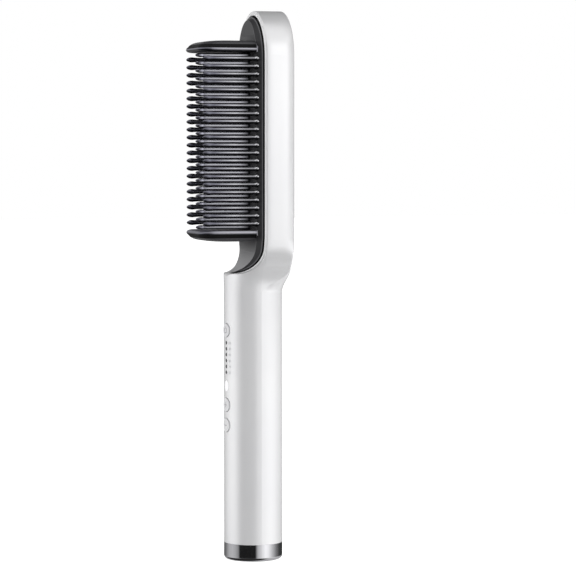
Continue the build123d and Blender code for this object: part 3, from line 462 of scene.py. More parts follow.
# Metallic paint on the back bezel: satin mid grey with fine flakes, and painted shade that darkens
# it round both ends, on its outer bevel and down the bevel beside the panel
BEZEL_GREY = Finish("satin_grey_metallic_paint", "#CACACD", "#C3C3C6", 0.34, Surface.METALLIC,
                    metallic=0.2, coat=0.3, grain_mm=0.35, relief_mm=0.002,
                    tones=(PaintedTone(Measure.END, 46.0, 66.0, "#87878A", *BEZEL_OVAL),
                           PaintedTone(Measure.EDGE, 21.6, 21.9, "#88888B", *BEZEL_OVAL),
                           PaintedTone(Measure.EDGE, 19.3, 19.1, "#29292B", *BEZEL_OVAL)))
# High gloss lacquer of the back panel: blue grey, with a painted reflection that pales it to silver
# at both sides, a painted highlight along its edge and painted shade in the joint round it
PANEL_GREY = Finish("gloss_blue_grey_lacquer", "#BBC6C8", "#B8C3C6", 0.14, Surface.METALLIC,
                    metallic=0.05, coat=1.0, grain_mm=0.35, relief_mm=0.0015, patch_mm=70.0,
                    tones=(PaintedTone(Measure.SIDE, 5.5, 15.5, "#F3F6FC"),
                           PaintedTone(Measure.EDGE, 17.7, 18.0, "#FFFFFF", *PANEL_OVAL),
                           PaintedTone(Measure.EDGE, 18.65, 18.75, "#3A3A3D", *PANEL_OVAL)))
# Pad printed grey ink of the marks beside the lights and on the keys
GREY_INK = Finish("pad_printed_grey_ink", "#B4B4B8", "#ACACB0", 0.5, Surface.ERODED, grain_mm=0.5,
                  relief_mm=0.002)


def add_piece(name: str, points: list, faces: list, body: str, finishes: list[Finish],
              sharp_angle: float = 40.0, layout: list[int] | None = None) -> Object:
    """Make a mesh piece of the brush that rides on a body.

    Args:
        name: the piece's name.
        points: its corners in millimetres.
        faces: its faces as lists of corner numbers.
        body: the body that carries it.
        finishes: its finishes, the main one first.
        sharp_angle: edges that turn by more than this many degrees stay sharp.
        layout: for each face the number of its finish, or nothing for one finish.

    Returns:
        The finished object, at the origin.
    """
    mesh = bpy.data.meshes.new(name)
    mesh.from_pydata([Vector(p) * MM for p in points], [], faces)
    for finish in finishes:
        mesh.materials.append(finish.material())
    for face, number in zip(mesh.polygons, layout or []):
        face.material_index = number
    shell = bmesh.new()
    shell.from_mesh(mesh)
    bmesh.ops.remove_doubles(shell, verts=shell.verts, dist=MERGE_DISTANCE)
    bmesh.ops.recalc_face_normals(shell, faces=shell.faces)
    shell.to_mesh(mesh)
    shell.free()
    mesh.shade_smooth()
    mesh.set_sharp_from_angle(angle=math.radians(sharp_angle))
    piece = put(name, mesh)
    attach(piece, body)
    return piece


def bridge(rings: list[list], closed_ends: bool = True) -> tuple[list, list]:
    """Join rings of equal length into a skin.

    Args:
        rings: the rings, each a list of points that goes round once.
        closed_ends: whether the first and last ring get a face.

    Returns:
        The points and the faces.
    """
    count = len(rings[0])
    points = [p for ring in rings for p in ring]
    faces = [
        [row * count + k, row * count + (k + 1) % count,
         (row + 1) * count + (k + 1) % count, (row + 1) * count + k]
        for row in range(len(rings) - 1) for k in range(count)
    ]
    if closed_ends:
        last = (len(rings) - 1) * count
        faces += [list(range(count)), list(range(last, last + count))]
    return points, faces


def join_skins(skins: list[tuple[list, list]]) -> tuple[list, list]:
    """Put several skins into one.

    Args:
        skins: the points and the faces of each.

    Returns:
        The points and the faces of all of them.
    """
    points, faces = [], []
    for more, skin in skins:
        faces += [[k + len(points) for k in face] for face in skin]
        points += more
    return points, faces


def superellipse(half_x: float, half_z: float, power: float,
                 count: int) -> list[tuple[float, float]]:
    """Outline of a rounded bar.

    Args:
        half_x: half its width.
        half_z: half its thickness.
        power: 2 for an ellipse, more for a squarer form.
        count: how many points go round it.

    Returns:
        The points x, z.
    """
    ring = []
    for k in range(count):
        angle = 2 * math.pi * (k + 0.5) / count
        across, up = math.cos(angle), math.sin(angle)
        ring.append((math.copysign(abs(across) ** (2 / power), across) * half_x,
                     math.copysign(abs(up) ** (2 / power), up) * half_z))
    return ring


def flat_bar(half_x: float, half_z: float, corner: float) -> list[tuple[float, float]]:
    """Outline of a flat bar with rounded corners, whose sides stay flat up to them.

    Args:
        half_x: half its width.
        half_z: half its thickness.
        corner: radius of its corners, where the bar is thick enough for it.

    Returns:
        The points x, z.
    """
    radius = min(corner, BAR_CORNER_LIMITS[0] * half_x, BAR_CORNER_LIMITS[1] * half_z)
    pad = BAR_PAD * radius
    quarter = [(half_x, half_z - radius - pad), (half_x, half_z - radius)]
    quarter += [(half_x - radius * (1 - math.cos(angle)), half_z - radius * (1 - math.sin(angle)))
                for angle in (math.pi / 6, math.pi / 3)]
    quarter += [(half_x - radius, half_z), (half_x - radius - pad, half_z)]
    upper = quarter + [(-x, z) for x, z in reversed(quarter)]
    return upper + [(-x, -z) for x, z in upper]


@dataclass
class CombFrame:
    """Dished insert that fills the front of the head, raised in the middle.

    Sizes are in millimetres, and heights are measured from the foot of the brush. lip_turn
    is a share of lip_round, and slope_rings and crease are shares of the sloping border.
    """

    radius: float = 22.05
    bottom: float = 151.75
    top: float = 287.45
    back_y: float = 3.0
    pocket_y: float = -0.6
    skirt: float = 3.65
    plateau_height: float = 3.1
    plateau_half_width: float = 15.8
    plateau_bottom: float = 152.3
    plateau_top: float = 285.0
    bottom_shoulder: float = 173.0
    top_shoulder: float = 266.0
    rim_scoop: float = 13.0
    rim_scoop_z: float = 165.0
    sweep: float = 13.9
    sweep_z: float = 165.6
    joint_gap: float = 0.8
    joint_depth: float = 1.4
    lip_rise: float = 1.4
    lip_round: float = 0.45
    lip_turn: float = 0.3
    slope_rings: tuple[float, ...] = (0.3, 0.6)
    bead_half_width: float = 0.68
    bead_height: float = 0.45
    bead_offset: float = 0.76
    bead_steps: int = 10
    crease: float = 0.06
    arc_steps: int = 40
    side_steps: int = 24

    def rim_y(self, z: float) -> float:
        """Depth of the outer edge at a height."""
        drop = min(max(self.rim_scoop_z - z, 0.0), self.rim_scoop)
        return math.sqrt(self.rim_scoop ** 2 - drop ** 2) - self.rim_scoop

    def face_y(self, z: float) -> float:
        """Depth of the raised face at a height."""
        drop = min(max(self.sweep_z - z, 0.0), self.sweep)
        return math.sqrt(self.sweep ** 2 - drop ** 2) - self.sweep - self.plateau_height

    def outline(self, inset: float) -> list[tuple[float, float]]:
        """Stadium outline of the insert.

        Args:
            inset: how far inside the insert's edge it runs.

        Returns:
            Points x, z, from the foot up the right side and down the left.
        """
        radius = self.radius - inset
        return self.closed_curve(radius, self.bottom + self.radius, radius,
                                 self.top - self.radius, radius)

    def closed_curve(self, half_width: float, low_z: float, low_drop: float, high_z: float,
                     high_rise: float) -> list[tuple[float, float]]:
        """Closed curve with elliptical ends and straight sides.

        Args:
            half_width: half width of the straight sides.
            low_z: height where the lower end starts.
            low_drop: how far the lower end reaches down.
            high_z: height where the upper end starts.
            high_rise: how far the upper end reaches up.

        Returns:
            Points x, z, anticlockwise from the foot, left and right in step.
        """
        right = []
        for k in range(self.arc_steps + 1):
            angle = math.pi / 2 * k / self.arc_steps
            right.append((half_width * math.sin(angle), low_z - low_drop * math.cos(angle)))
        for k in range(1, self.side_steps):
            right.append((half_width, low_z + (high_z - low_z) * k / self.side_steps))
        for k in range(self.arc_steps + 1):
            angle = math.pi / 2 * k / self.arc_steps
            right.append((half_width * math.cos(angle), high_z + high_rise * math.sin(angle)))
        left = [(-x, z) for x, z in reversed(right[1:-1])]
        return right + left

    def bead(self) -> Object:
        """Build the low bead on the shell's rim, the line that frames the insert, with a painted
        highlight.

        Returns:
            The bead.
        """
        rings = []
        for k in range(self.bead_steps + 1):
            angle = 2 * math.pi * k / self.bead_steps
            curve = self.outline(self.bead_half_width * math.cos(angle) - self.bead_offset)
            rings.append([(x, self.rim_y(z) + self.bead_height * math.sin(angle), z)
                          for x, z in curve])
        points, faces = bridge(rings, closed_ends=False)
        return add_piece("rim_bead", points, faces, MAIN_BODY, [RIM_WHITE], sharp_angle=60.0)

    def build(self) -> Object:
        """Build the insert as one closed skin and put it in the place of the plain one.

        Returns:
            The insert.
        """
        # Finishes: the face, the slope in painted shade, painted shade in the joint, and the crease
        # and lip with a painted highlight
        front, slope, joint_shade, crease = range(4)
        edge = self.outline(0.0)
        lip = self.outline(self.joint_gap)
        turn = self.outline(self.joint_gap + self.lip_turn * self.lip_round)
        brim = self.outline(self.joint_gap + self.lip_round)
        plateau = self.closed_curve(
            self.plateau_half_width, self.bottom_shoulder,
            self.bottom_shoulder - self.plateau_bottom, self.top_shoulder,
            self.plateau_top - self.top_shoulder)
        pocket = self.outline(self.skirt)
        crest = [max(self.rim_y(z) - self.lip_rise, self.face_y(f) + 2 * self.lip_round)
                 for (_, z), (_, f) in zip(lip, plateau)]
        rings = [
            [(x, self.pocket_y, z) for x, z in pocket],
            [(x, self.back_y, z) for x, z in pocket],
            [(x, self.back_y, z) for x, z in edge],
            *[[(x, min(self.rim_y(z) + self.joint_depth, self.back_y), z) for x, z in curve]
              for curve in (edge, lip)],
            *[[(x, y + share * self.lip_round, z) for (x, z), y in zip(curve, crest)]
              for curve, share in ((lip, 1.0), (turn, self.lip_turn), (brim, 0.0))],
        ]
        bands = [front, front, front, joint_shade, joint_shade, crease, crease]
        for share in (*self.slope_rings, 1 - self.crease, 1.0):
            rings.append([
                (a[0] + (b[0] - a[0]) * share, y * (1 - share) + self.face_y(b[1]) * share,
                 a[1] + (b[1] - a[1]) * share)
                for a, b, y in zip(brim, plateau, crest)
            ])
            bands.append(crease if share == 1.0 else slope)
        points, faces = bridge(rings, closed_ends=False)
        count = len(edge)
        layout = [finish for finish in bands for _ in range(count)]
        faces.append(list(range(count)))
        first = (len(rings) - 1) * count
        for k in range(1, count // 2):
            faces.append([first + k, first + k + 1, first + (count - k - 1) % count,
                          first + (count - k) % count])
        faces.append([first, first + 1, first + count - 1])
        layout += [front] * (len(faces) - len(layout))
        piece = add_piece("comb_insert", points, faces, MAIN_BODY,
                          [FRAME_GREY, SLOPE_SHADED_GREY, JOINT_SHADE_BLACK, CREASE_HIGHLIGHT_GREY],
                          sharp_angle=24.0, layout=layout)
        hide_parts("comb_frame")
        return piece


@dataclass
class Tooth:
    """One tooth that points to -Y from the rail behind the insert, in millimetres.

    The collar's stations give how far each lies in front of the insert's face, and what it
    adds to the half width and thickness. The shaft's give the share of its length and how far
    it is back at the tooth's full thickness, and the drop's the share of its length and size.
    """

    root_half_width: float
    tip_half_width: float
    half_thickness: float
    shaft_half_thickness: float
    reach: float
    root_y: float = -0.5
    face_y: float = -3.1
    collar: tuple[tuple[float, ...], ...] = (
        (-0.1, 0.0, 0.0), (0.05, 0.45, 0.35), (0.45, 0.135, 0.12))
    shaft_start: float = 1.1
    shaft_flare: float = 0.1
    shaft: tuple[tuple[float, float], ...] = (
        (0.2, 0.0), (0.5, 0.0), (0.8, 0.0), (0.92, 0.024), (1.0, 0.6))
    drop: tuple[tuple[float, float], ...] = (
        (0.12, 0.96), (0.28, 1.03), (0.45, 1.0), (0.62, 0.9), (0.78, 0.72), (0.9, 0.48),
        (0.97, 0.26), (1.0, 0.06))
    tip_length: float = 4.5
    tip_swell: float = 0.4
    squareness: float = 2.1
    ring_points: int = 20
    flat_corner: float = 0.0

    def section(self, wide: float, thick: float) -> list[tuple[float, float]]:
        """Section of the tooth: a flat bar where it has a corner radius, else an oval.

        Args:
            wide: half its width.
            thick: half its thickness.

        Returns:
            The points x, z.
        """
        if self.flat_corner:
            return flat_bar(wide, thick, self.flat_corner)
        return superellipse(wide, thick, self.squareness, self.ring_points)

    def rings(self) -> list[list]:
        """Rings of the tooth: a root, a collar, a tapering shaft and a pointed drop.

        Returns:
            The rings, from the rail to the tip.
        """
        wide, thick, slim = self.root_half_width, self.half_thickness, self.shaft_half_thickness
        neck = self.tip_half_width + self.tip_swell
        start, end = self.face_y - self.shaft_start, self.tip_length - self.reach
        stations = [(self.root_y, wide, thick)]
        stations += [(self.face_y - ahead, wide + wider, thick + thicker)
                     for ahead, wider, thicker in self.collar]
        stations.append((start, wide, slim + self.shaft_flare))
        stations += [(start + (end - start) * share, wide + (neck - wide) * share,
                      slim + (thick - slim) * full) for share, full in self.shaft]
        stations += [(end - self.tip_length * share, neck * size, thick * size)
                     for share, size in self.drop]
        return [[(x, y, z) for x, z in self.section(wide, thick)] for y, wide, thick in stations]


@dataclass
class ToothRow:
    """A comb: a row of equal teeth on a rail, repeated by Geometry Nodes, in millimetres."""

    name: str
    node: str
    slot: str
    tooth: Tooth
    finish: Finish
    row_x: float
    count: int
    rail_half_width: float
    rail_half_length: float
    rail_back: float
    rail_front: float = -0.5
    pitch: float = 4.1
    centre_z: float = 221.5

    @staticmethod
    def tree() -> NodeTree:
        """The node tree that repeats a tooth along a rail.

        Returns:
            The tree, made once and used by every row.
        """
        known = bpy.data.node_groups.get("teeth_on_rail")
        if known is not None:
            return known
        tree = bpy.data.node_groups.new("teeth_on_rail", "GeometryNodeTree")
        sockets = (("Tooth", "NodeSocketGeometry"), ("Count", "NodeSocketInt"),
                   ("First tooth", "NodeSocketVector"), ("Step", "NodeSocketVector"),
                   ("Rail size", "NodeSocketVector"), ("Rail centre", "NodeSocketVector"),
                   ("Finish", "NodeSocketMaterial"))
        for name, kind in sockets:
            tree.interface.new_socket(name=name, in_out="INPUT", socket_type=kind)
        tree.interface.new_socket(name="Comb", in_out="OUTPUT", socket_type="NodeSocketGeometry")
        given = add_node(tree, "NodeGroupInput").outputs
        line = add_node(tree, "GeometryNodeMeshLine", {
            "Count": given["Count"], "Start Location": given["First tooth"],
            "Offset": given["Step"]}, mode="OFFSET")
        teeth = add_node(tree, "GeometryNodeInstanceOnPoints", {
            "Points": line.outputs["Mesh"], "Instance": given["Tooth"]})
        rail = add_node(tree, "GeometryNodeMeshCube", {"Size": given["Rail size"]})
        placed = add_node(tree, "GeometryNodeTransform", {
            "Geometry": rail.outputs["Mesh"], "Translation": given["Rail centre"]})
        both = add_node(tree, "GeometryNodeJoinGeometry", {"Geometry": teeth.outputs["Instances"]})
        tree.links.new(placed.outputs["Geometry"], both.inputs["Geometry"])
        real = add_node(tree, "GeometryNodeRealizeInstances", {"Geometry": both.outputs["Geometry"]})
        dressed = add_node(tree, "GeometryNodeSetMaterial", {
            "Geometry": real.outputs["Geometry"], "Material": given["Finish"]})
        add_node(tree, "NodeGroupOutput", {"Comb": dressed.outputs["Geometry"]})
        return tree

    def build(self) -> Object:
        """Build the comb and put it in the place of its plain node.

        Returns:
            The comb.
        """
        points, faces = bridge(self.tooth.rings())
        piece = add_piece(self.name, points, faces, MAIN_BODY, [self.finish], sharp_angle=50.0)
        first_z = self.centre_z - (self.count - 1) / 2 * self.pitch
        values = {
            "Count": self.count,
            "First tooth": [self.row_x * MM, 0.0, first_z * MM],
            "Step": [0.0, 0.0, self.pitch * MM],
            "Rail size": [2 * self.rail_half_width * MM, (self.rail_back - self.rail_front) * MM,
                          2 * self.rail_half_length * MM],
            "Rail centre": [self.row_x * MM, (self.rail_front + self.rail_back) / 2 * MM,
                            self.centre_z * MM],
            "Finish": self.finish.material(),
        }
        repeat_by_nodes(piece, self.tree(), values)
        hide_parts(self.node)
        return piece


def repeat_by_nodes(piece: Object, tree: NodeTree, values: dict) -> None:
    """Run a geometry tree on a piece and keep its result as a plain mesh.

    Args:
        piece: the object whose mesh goes in and is replaced.
        tree: the tree.
        values: the tree's inputs by their names.
    """
    modifier = piece.modifiers.new(tree.name, "NODES")
    modifier.node_group = tree
    for item in tree.interface.items_tree:
        if item.in_out == "INPUT" and item.name in values:
            modifier[item.identifier] = values[item.name]
    bpy.context.view_layer.update()
    shaped = piece.evaluated_get(bpy.context.evaluated_depsgraph_get())
    mesh = bpy.data.meshes.new_from_object(shaped)
    mesh.name = piece.name
    piece.modifiers.remove(modifier)
    piece.data = mesh


def smooth_through(stations: tuple[tuple[float, ...], ...], steps: int) -> list[list[float]]:
    """Points on a smooth curve that passes through stations.

    Args:
        stations: the stations, each with as many numbers.
        steps: how many points lie on each span.

    Returns:
        The points, from the first station to the last.
    """
    curve = []
    for k in range(len(stations) - 1):
        before, here = stations[max(k - 1, 0)], stations[k]
        after = stations[k + 1]
        beyond = stations[min(k + 2, len(stations) - 1)]
        for step in range(steps):
            t = step / steps
            curve.append([
                0.5 * (2 * h + (n - p) * t + (2 * p - 5 * h + 4 * n - f) * t * t
                       + (3 * h - p - 3 * n + f) * t ** 3)
                for p, h, n, f in zip(before, here, after, beyond)
            ])
    return [*curve, list(stations[-1])]


@dataclass
class EndGuard:
    """Wall across one end of the comb, in millimetres.

    A rounded bulge lies beside the teeth, then a shallow valley, and a lower band outside.
    """

    name: str
    node: str
    end: int
    inner: float = 46.5
    thickness: float = 5.85
    bulge: float = 2.7
    half_width: float = 17.3
    outer_half_width: float = 13.8
    reach: float = 33.37
    outer_reach: float = 24.1
    corner: float = 7.0
    face_y: float = -3.1
    root_y: float = 3.4
    centre_z: float = 221.5
    corner_steps: int = 12
    straight_steps: int = 6
    profile_steps: int = 3
    # Shares of the thickness between which the valley lies
    valley: tuple[float, float] = (0.33, 0.68)
    # Share of the thickness, of the half width's fall, of the reach's fall
    profile: tuple[tuple[float, ...], ...] = (
        (0.0, 0.24, 0.26), (0.03, 0.13, 0.15), (0.09, 0.05, 0.06), (0.22, 0.0, 0.0),
        (0.34, 0.03, 0.01), (0.42, 0.10, 0.03), (0.4615, 0.20, 0.06), (0.5415, 0.30, 0.10),
        (0.68, 0.41, 0.18), (0.84, 0.60, 0.36), (0.95, 0.82, 0.64), (1.0, 1.0, 1.0))

    def slice(self, share: float, narrowing: float, lowering: float) -> list:
        """Level outline of the guard at a height in it.

        Args:
            share: how far through the thickness it lies, from the teeth outwards.
            narrowing: share of the fall from the inner half width to the outer one.
            lowering: share of the fall from the inner reach to the outer one.

        Returns:
            The points, from the left root to the right one.
        """
        z = self.centre_z + self.end * (self.inner + share * self.thickness)
        wide = self.half_width - narrowing * (self.half_width - self.outer_half_width)
        reach = self.reach - lowering * (self.reach - self.outer_reach)
        flat, side = wide - self.corner, self.corner - reach
        right = [(flat * k / self.straight_steps, -reach, z) for k in range(self.straight_steps)]
        for k in range(self.corner_steps + 1):
            angle = math.pi / 2 * k / self.corner_steps
            right.append((wide - self.corner * (1 - math.sin(angle)),
                          self.corner * (1 - math.cos(angle)) - reach, z))
        right += [(wide, side + (self.face_y - side) * k / self.straight_steps, z)
                  for k in range(1, self.straight_steps + 1)]
        return [(-x, y, z) for x, y, z in reversed(right[1:])] + right

    def foot(self) -> tuple[list, list]:
        """Skin of the part in the insert's slot.

        Returns:
            Its points and its faces.
        """
        z = [self.centre_z + self.end * (self.inner + share)
             for share in (0.0, self.bulge, self.thickness)]
        wide, narrow = self.half_width, self.outer_half_width
        outline = [(-wide, z[0]), (wide, z[0]), (wide, z[1]), (narrow, z[2]), (-narrow, z[2]),
                   (-wide, z[1])]
        return bridge([[(x, y, up) for x, up in outline] for y in (self.root_y, self.face_y)])

    def build(self) -> Object:
        """Build the guard and put it in the place of its plain node.

        Returns:
            The guard.
        """
        # Finishes: the bulge's lacquer made darker by painted shade, the satin outside, and painted
        # shade in the valley
        gloss, satin, groove_shade = range(3)
        stations = smooth_through(self.profile, self.profile_steps)
        rings = [self.slice(*station) for station in stations]
        middles = [(a[0] + b[0]) / 2 for a, b in zip(stations, stations[1:])]
        bands = [gloss if middle < self.valley[0] else groove_shade if middle < self.valley[1] else satin
                 for middle in middles]
        layout = [finish for finish in bands for _ in rings[0]] + [gloss, satin]
        foot = self.foot()
        points, faces = join_skins([bridge(rings), foot])
        layout += [gloss] * len(foot[1])
        piece = add_piece(self.name, points, faces, MAIN_BODY,
                          [GUARD_SHADED_GLOSS, GUARD_SATIN, JOINT_SHADE_BLACK], sharp_angle=30.0,
                          layout=layout)
        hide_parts(self.node)
        return piece


@dataclass
class CombHead:
    """The comb head: insert, three rows of teeth and both end guards."""

    insert: CombFrame = field(default_factory=CombFrame)
    guards: tuple[EndGuard, ...] = (EndGuard("guard_wall_lower", "end_guard_lower", -1),
                                    EndGuard("guard_wall_upper", "end_guard_upper", 1))

    def rows(self) -> list[ToothRow]:
        """Size the rows of teeth.

        Returns:
            The two rows of fingers and the heated row between them.
        """
        finger = Tooth(root_half_width=2.5, tip_half_width=0.8, half_thickness=1.35,
                       shaft_half_thickness=1.15, reach=32.0)
        blade = Tooth(root_half_width=5.0, tip_half_width=0.9, half_thickness=1.1,
                      shaft_half_thickness=1.05, reach=31.5, flat_corner=0.62)
        rows = [ToothRow(name, node, "dark_teeth", finger, TOOTH_BLACK, row_x=row_x, count=22,
                         rail_half_width=2.4, rail_half_length=44.85, rail_back=3.4)
                for name, node, row_x in (("finger_row_left", "side_comb_left", -15.8),
                                          ("finger_row_right", "side_comb_right", 15.8))]
        return rows + [ToothRow("heated_blade_row", "heated_comb", "coated_aluminium", blade,
                                COATED_BLADE, row_x=0.0, count=23, rail_half_width=6.6,
                                rail_half_length=46.2, rail_back=1.7)]

    def build(self) -> list[Object]:
        """Build every piece of the head."""
        return [self.insert.build(), self.insert.bead(), *[row.build() for row in self.rows()],
                *[guard.build() for guard in self.guards]]


class Mark(Enum):
    """What a key's printed mark means."""

    POWER = "power"
    PLUS = "plus"
    MINUS = "minus"


@dataclass
class Keypad:
    """Printed marks of the control column, which is turned about the handle's axis.

    Sizes are in millimetres and angles in degrees. The ink starts a little under the surface
    and ends a little over it. numeral_width is how narrow the numerals are set, as a share.
    """

    turn: float = 7.5
    key_top: float = 16.0
    handle: float = 15.5
    lift: float = 0.03
    sink: float = 0.02
    stroke: float = 0.42
    sign_reach: float = 1.35
    sign_steps: int = 6
    ring_radius: float = 1.45
    ring_start: float = 125.0
    ring_turn: float = 290.0
    ring_steps: int = 32
    ring_stem: tuple[float, float] = (0.5, 2.0)
    numeral_size: float = 1.8225
    numeral_width: float = 0.62
    numeral_offset: float = 2.7
    led_top_z: float = 115.3
    led_pitch: float = 3.12
    numerals: tuple[str, ...] = ("220", "200", "180", "160", "140", "120")
    keys: tuple[tuple[Mark, str, float], ...] = (
        (Mark.POWER, "power_key", 122.0), (Mark.PLUS, "temperature_up_key", 82.5),
        (Mark.MINUS, "temperature_down_key", 71.7))

    def wrap(self, u: float, z: float, radius: float) -> tuple[float, float, float]:
        """Point at an arc length from the column's middle, at a height and a radius."""
        angle = math.radians(self.turn) + u / radius
        return (math.sin(angle) * radius, -math.cos(angle) * radius, z)

    def line_of_ink(self, path: list[tuple[float, float]], radius: float) -> tuple[list, list]:
        """A printed stroke along a path on a round surface.

        Args:
            path: points of arc length and height.
            radius: radius of the surface.

        Returns:
            The points and the faces of a thin closed strip.
        """
        rings = []
        for k, (u, z) in enumerate(path):
            before, after = path[max(k - 1, 0)], path[min(k + 1, len(path) - 1)]
            along = Vector((after[0] - before[0], after[1] - before[1])).normalized()
            side = Vector((-along.y, along.x)) * self.stroke / 2
            rings.append([self.wrap(u + way * side.x, z + way * side.y, radius + height)
                          for way, height in ((1, -self.sink), (1, self.lift),
                                              (-1, self.lift), (-1, -self.sink))])
        return bridge(rings)

    def strokes(self, mark: Mark, height: float) -> list[list[tuple[float, float]]]:
        """The paths that draw a mark.

        Args:
            mark: what it means.
            height: height of its middle.

        Returns:
            The paths, as points of arc length and height.
        """
        reach = self.sign_reach
        level = [(-reach + 2 * reach * k / self.sign_steps, height)
                 for k in range(self.sign_steps + 1)]
        if mark is Mark.MINUS:
            return [level]
        if mark is Mark.PLUS:
            return [level, [(0.0, height - reach), (0.0, height + reach)]]
        ring = []
        for k in range(self.ring_steps + 1):
            angle = math.radians(self.ring_start + self.ring_turn * k / self.ring_steps)
            ring.append((self.ring_radius * math.cos(angle),
                         height + self.ring_radius * math.sin(angle)))
        return [ring, [(0.0, height + rise) for rise in self.ring_stem]]

    def build_marks(self) -> list[Object]:
        """Print the mark of each key.

        Returns:
            The marks.
        """
        made = []
        for mark, body, height in self.keys:
            points, faces = join_skins([self.line_of_ink(path, self.key_top)
                                        for path in self.strokes(mark, height)])
            made.append(add_piece(f"{mark.value}_mark", points, faces, body, [GREY_INK]))
        return made

    def build_numerals(self) -> Object:
        """Print a temperature beside each light.

        Returns:
            All numerals as one piece.
        """
        skins = []
        for k, words in enumerate(self.numerals):
            text = bpy.data.curves.new("numeral", "FONT")
            text.body = words
            text.size = self.numeral_size
            text.align_y = "CENTER"
            holder = put("numeral", text)
            bpy.context.view_layer.update()
            flat = bpy.data.meshes.new_from_object(
                holder.evaluated_get(bpy.context.evaluated_depsgraph_get()))
            height = self.led_top_z - k * self.led_pitch
            skins.append((
                [self.wrap(self.numeral_offset + self.numeral_width * v.co.x, height + v.co.y,
                           self.handle + self.lift) for v in flat.vertices],
                [list(p.vertices) for p in flat.polygons]))
            bpy.data.objects.remove(holder)
            bpy.data.meshes.remove(flat)
        points, faces = join_skins(skins)
        return add_piece("heat_numerals", points, faces, MAIN_BODY, [GREY_INK])

    def build(self) -> list[Object]:
        """Build every printed mark."""
        return [*self.build_marks(), self.build_numerals()]


@dataclass
class Mouldings:
    """Nodes of the frame whose shape is right, and the finish that each one gets."""

    finishes: dict[str, Finish] = field(default_factory=lambda: {
        "housing": SHELL_WHITE, "end_cap": BLACK_CHROME, "swivel_gland": BLACK_NYLON,
        "slip_rings": BRASS, "swivel_retainer": NATURAL_ABS, "contact_carrier": BLACK_NYLON,
        "spring_contacts": BRASS, "chassis": NATURAL_ABS, "control_board": BOARD_GREEN,
        "board_screws": ZINC_STEEL, "switch_bodies": BLACK_EPOXY, "power_plunger": BLACK_NYLON,
        "temperature_up_plunger": BLACK_NYLON, "temperature_down_plunger": BLACK_NYLON,
        "power_button": KEY_WHITE, "temperature_up_button": KEY_WHITE,
        "temperature_down_button": KEY_WHITE, "light_guide": SMOKED_PC,
        "led_chips": LIGHT_PACKAGE, "status_lens": MILKY_PC, "terminal_blocks": TERMINAL_GREEN,
        "film_capacitor": CAPACITOR_YELLOW, "fuse_tube": GLAZED_CERAMIC,
        "power_triac": BLACK_EPOXY, "microcontroller": BLACK_EPOXY,
        "mains_leads": SILICONE_RED, "heater_leads": SILICONE_RED,
        "thermistor_leads": SILICONE_RED, "heater_strip": ALUMINA, "heater_clamp": ROLLED_STEEL,
        "clamp_screws": ZINC_STEEL, "thermistor": GLAZED_CERAMIC, "thermal_fuse": ZINC_STEEL,
        "insulation_board": MICA, "back_bezel": BEZEL_GREY, "back_panel": PANEL_GREY,
        "frame_screws": ZINC_STEEL, "comb_frame": FRAME_GREY, "side_comb_left": TOOTH_BLACK,
        "side_comb_right": TOOTH_BLACK, "heated_comb": COATED_BLADE,
        "end_guard_lower": GUARD_SHADED_GLOSS, "end_guard_upper": GUARD_SHADED_GLOSS,
    })

    def dress(self, nodes: dict[str, Object]) -> None:
        """Give each node its finish.

        Args:
            nodes: the frame's nodes by name.
        """
        for name, node in nodes.items():
            node.material_slots[0].material = self.finishes[name].material()
            LOG.info("dressed %s in %s", name, self.finishes[name].name)


# Azimuth from the camera in degrees, and how bright the tent is there
PIT_TONES = (
    (-180.0, 0.5), (-150.0, 0.5), (-130.0, 0.03), (45.0, 0.03), (70.0, 0.7), (150.0, 0.7),
    (180.0, 0.5))
HANDLE_TONES = (
    (-180.0, 0.3), (-140.0, 0.35), (-125.0, 0.75), (-105.0, 1.2), (-88.0, 1.45), (-74.0, 1.35),
    (-58.0, 0.7), (-45.0, 0.25), (6.0, 0.25), (18.0, 0.65), (36.0, 1.15), (56.0, 1.4),
    (78.0, 1.5), (96.0, 1.25), (116.0, 0.75), (140.0, 0.5), (180.0, 0.3))
CAP_TONES = (
    (-180.0, 0.03), (-158.0, 0.1), (-132.0, 0.32), (-108.0, 0.76), (-90.0, 0.84),
    (-75.0, 0.71), (-61.0, 0.43), (-54.0, 0.02), (9.0, 0.02), (19.0, 0.75), (32.0, 1.14),
    (50.0, 1.66), (62.0, 1.5), (81.0, 0.86), (103.0, 0.32), (125.0, 0.08), (180.0, 0.02))
NECK_TONES = (
    (-180.0, 0.3), (-140.0, 0.35), (-125.0, 0.75), (-105.0, 1.2), (-88.0, 1.4), (-74.0, 1.25),
    (-58.0, 0.6), (-45.0, 0.2), (10.0, 0.25), (34.0, 0.4), (56.0, 0.7), (78.0, 0.8),
    (96.0, 0.6), (116.0, 0.4), (140.0, 0.3), (180.0, 0.3))
HEAD_TONES = (
    (-180.0, 0.3), (-160.0, 0.5), (-146.0, 0.65), (-120.0, 0.9), (-90.0, 1.0), (-70.0, 0.6),
    (-52.0, 0.1), (5.0, 0.1), (12.0, 0.85), (20.0, 0.95), (25.0, 0.9), (31.0, 1.5), (37.0, 1.8),
    (46.0, 1.5), (56.0, 0.6), (68.0, 0.2), (85.0, 0.05), (98.0, 0.1), (116.0, 0.15),
    (135.0, 0.15), (180.0, 0.15))
ROOF_TONES = (
    (-180.0, 0.02), (-140.0, 0.1), (-110.0, 0.7), (-60.0, 0.9), (0.0, 1.0), (60.0, 1.0),
    (80.0, 0.7), (110.0, 0.3), (140.0, 0.05), (180.0, 0.02))


def towards(azimuth: float) -> Vector:
    """Level direction from the brush at an azimuth, 0 being in front of the teeth."""
    angle = math.radians(azimuth)
    return Vector((math.sin(angle), -math.cos(angle), 0.0))


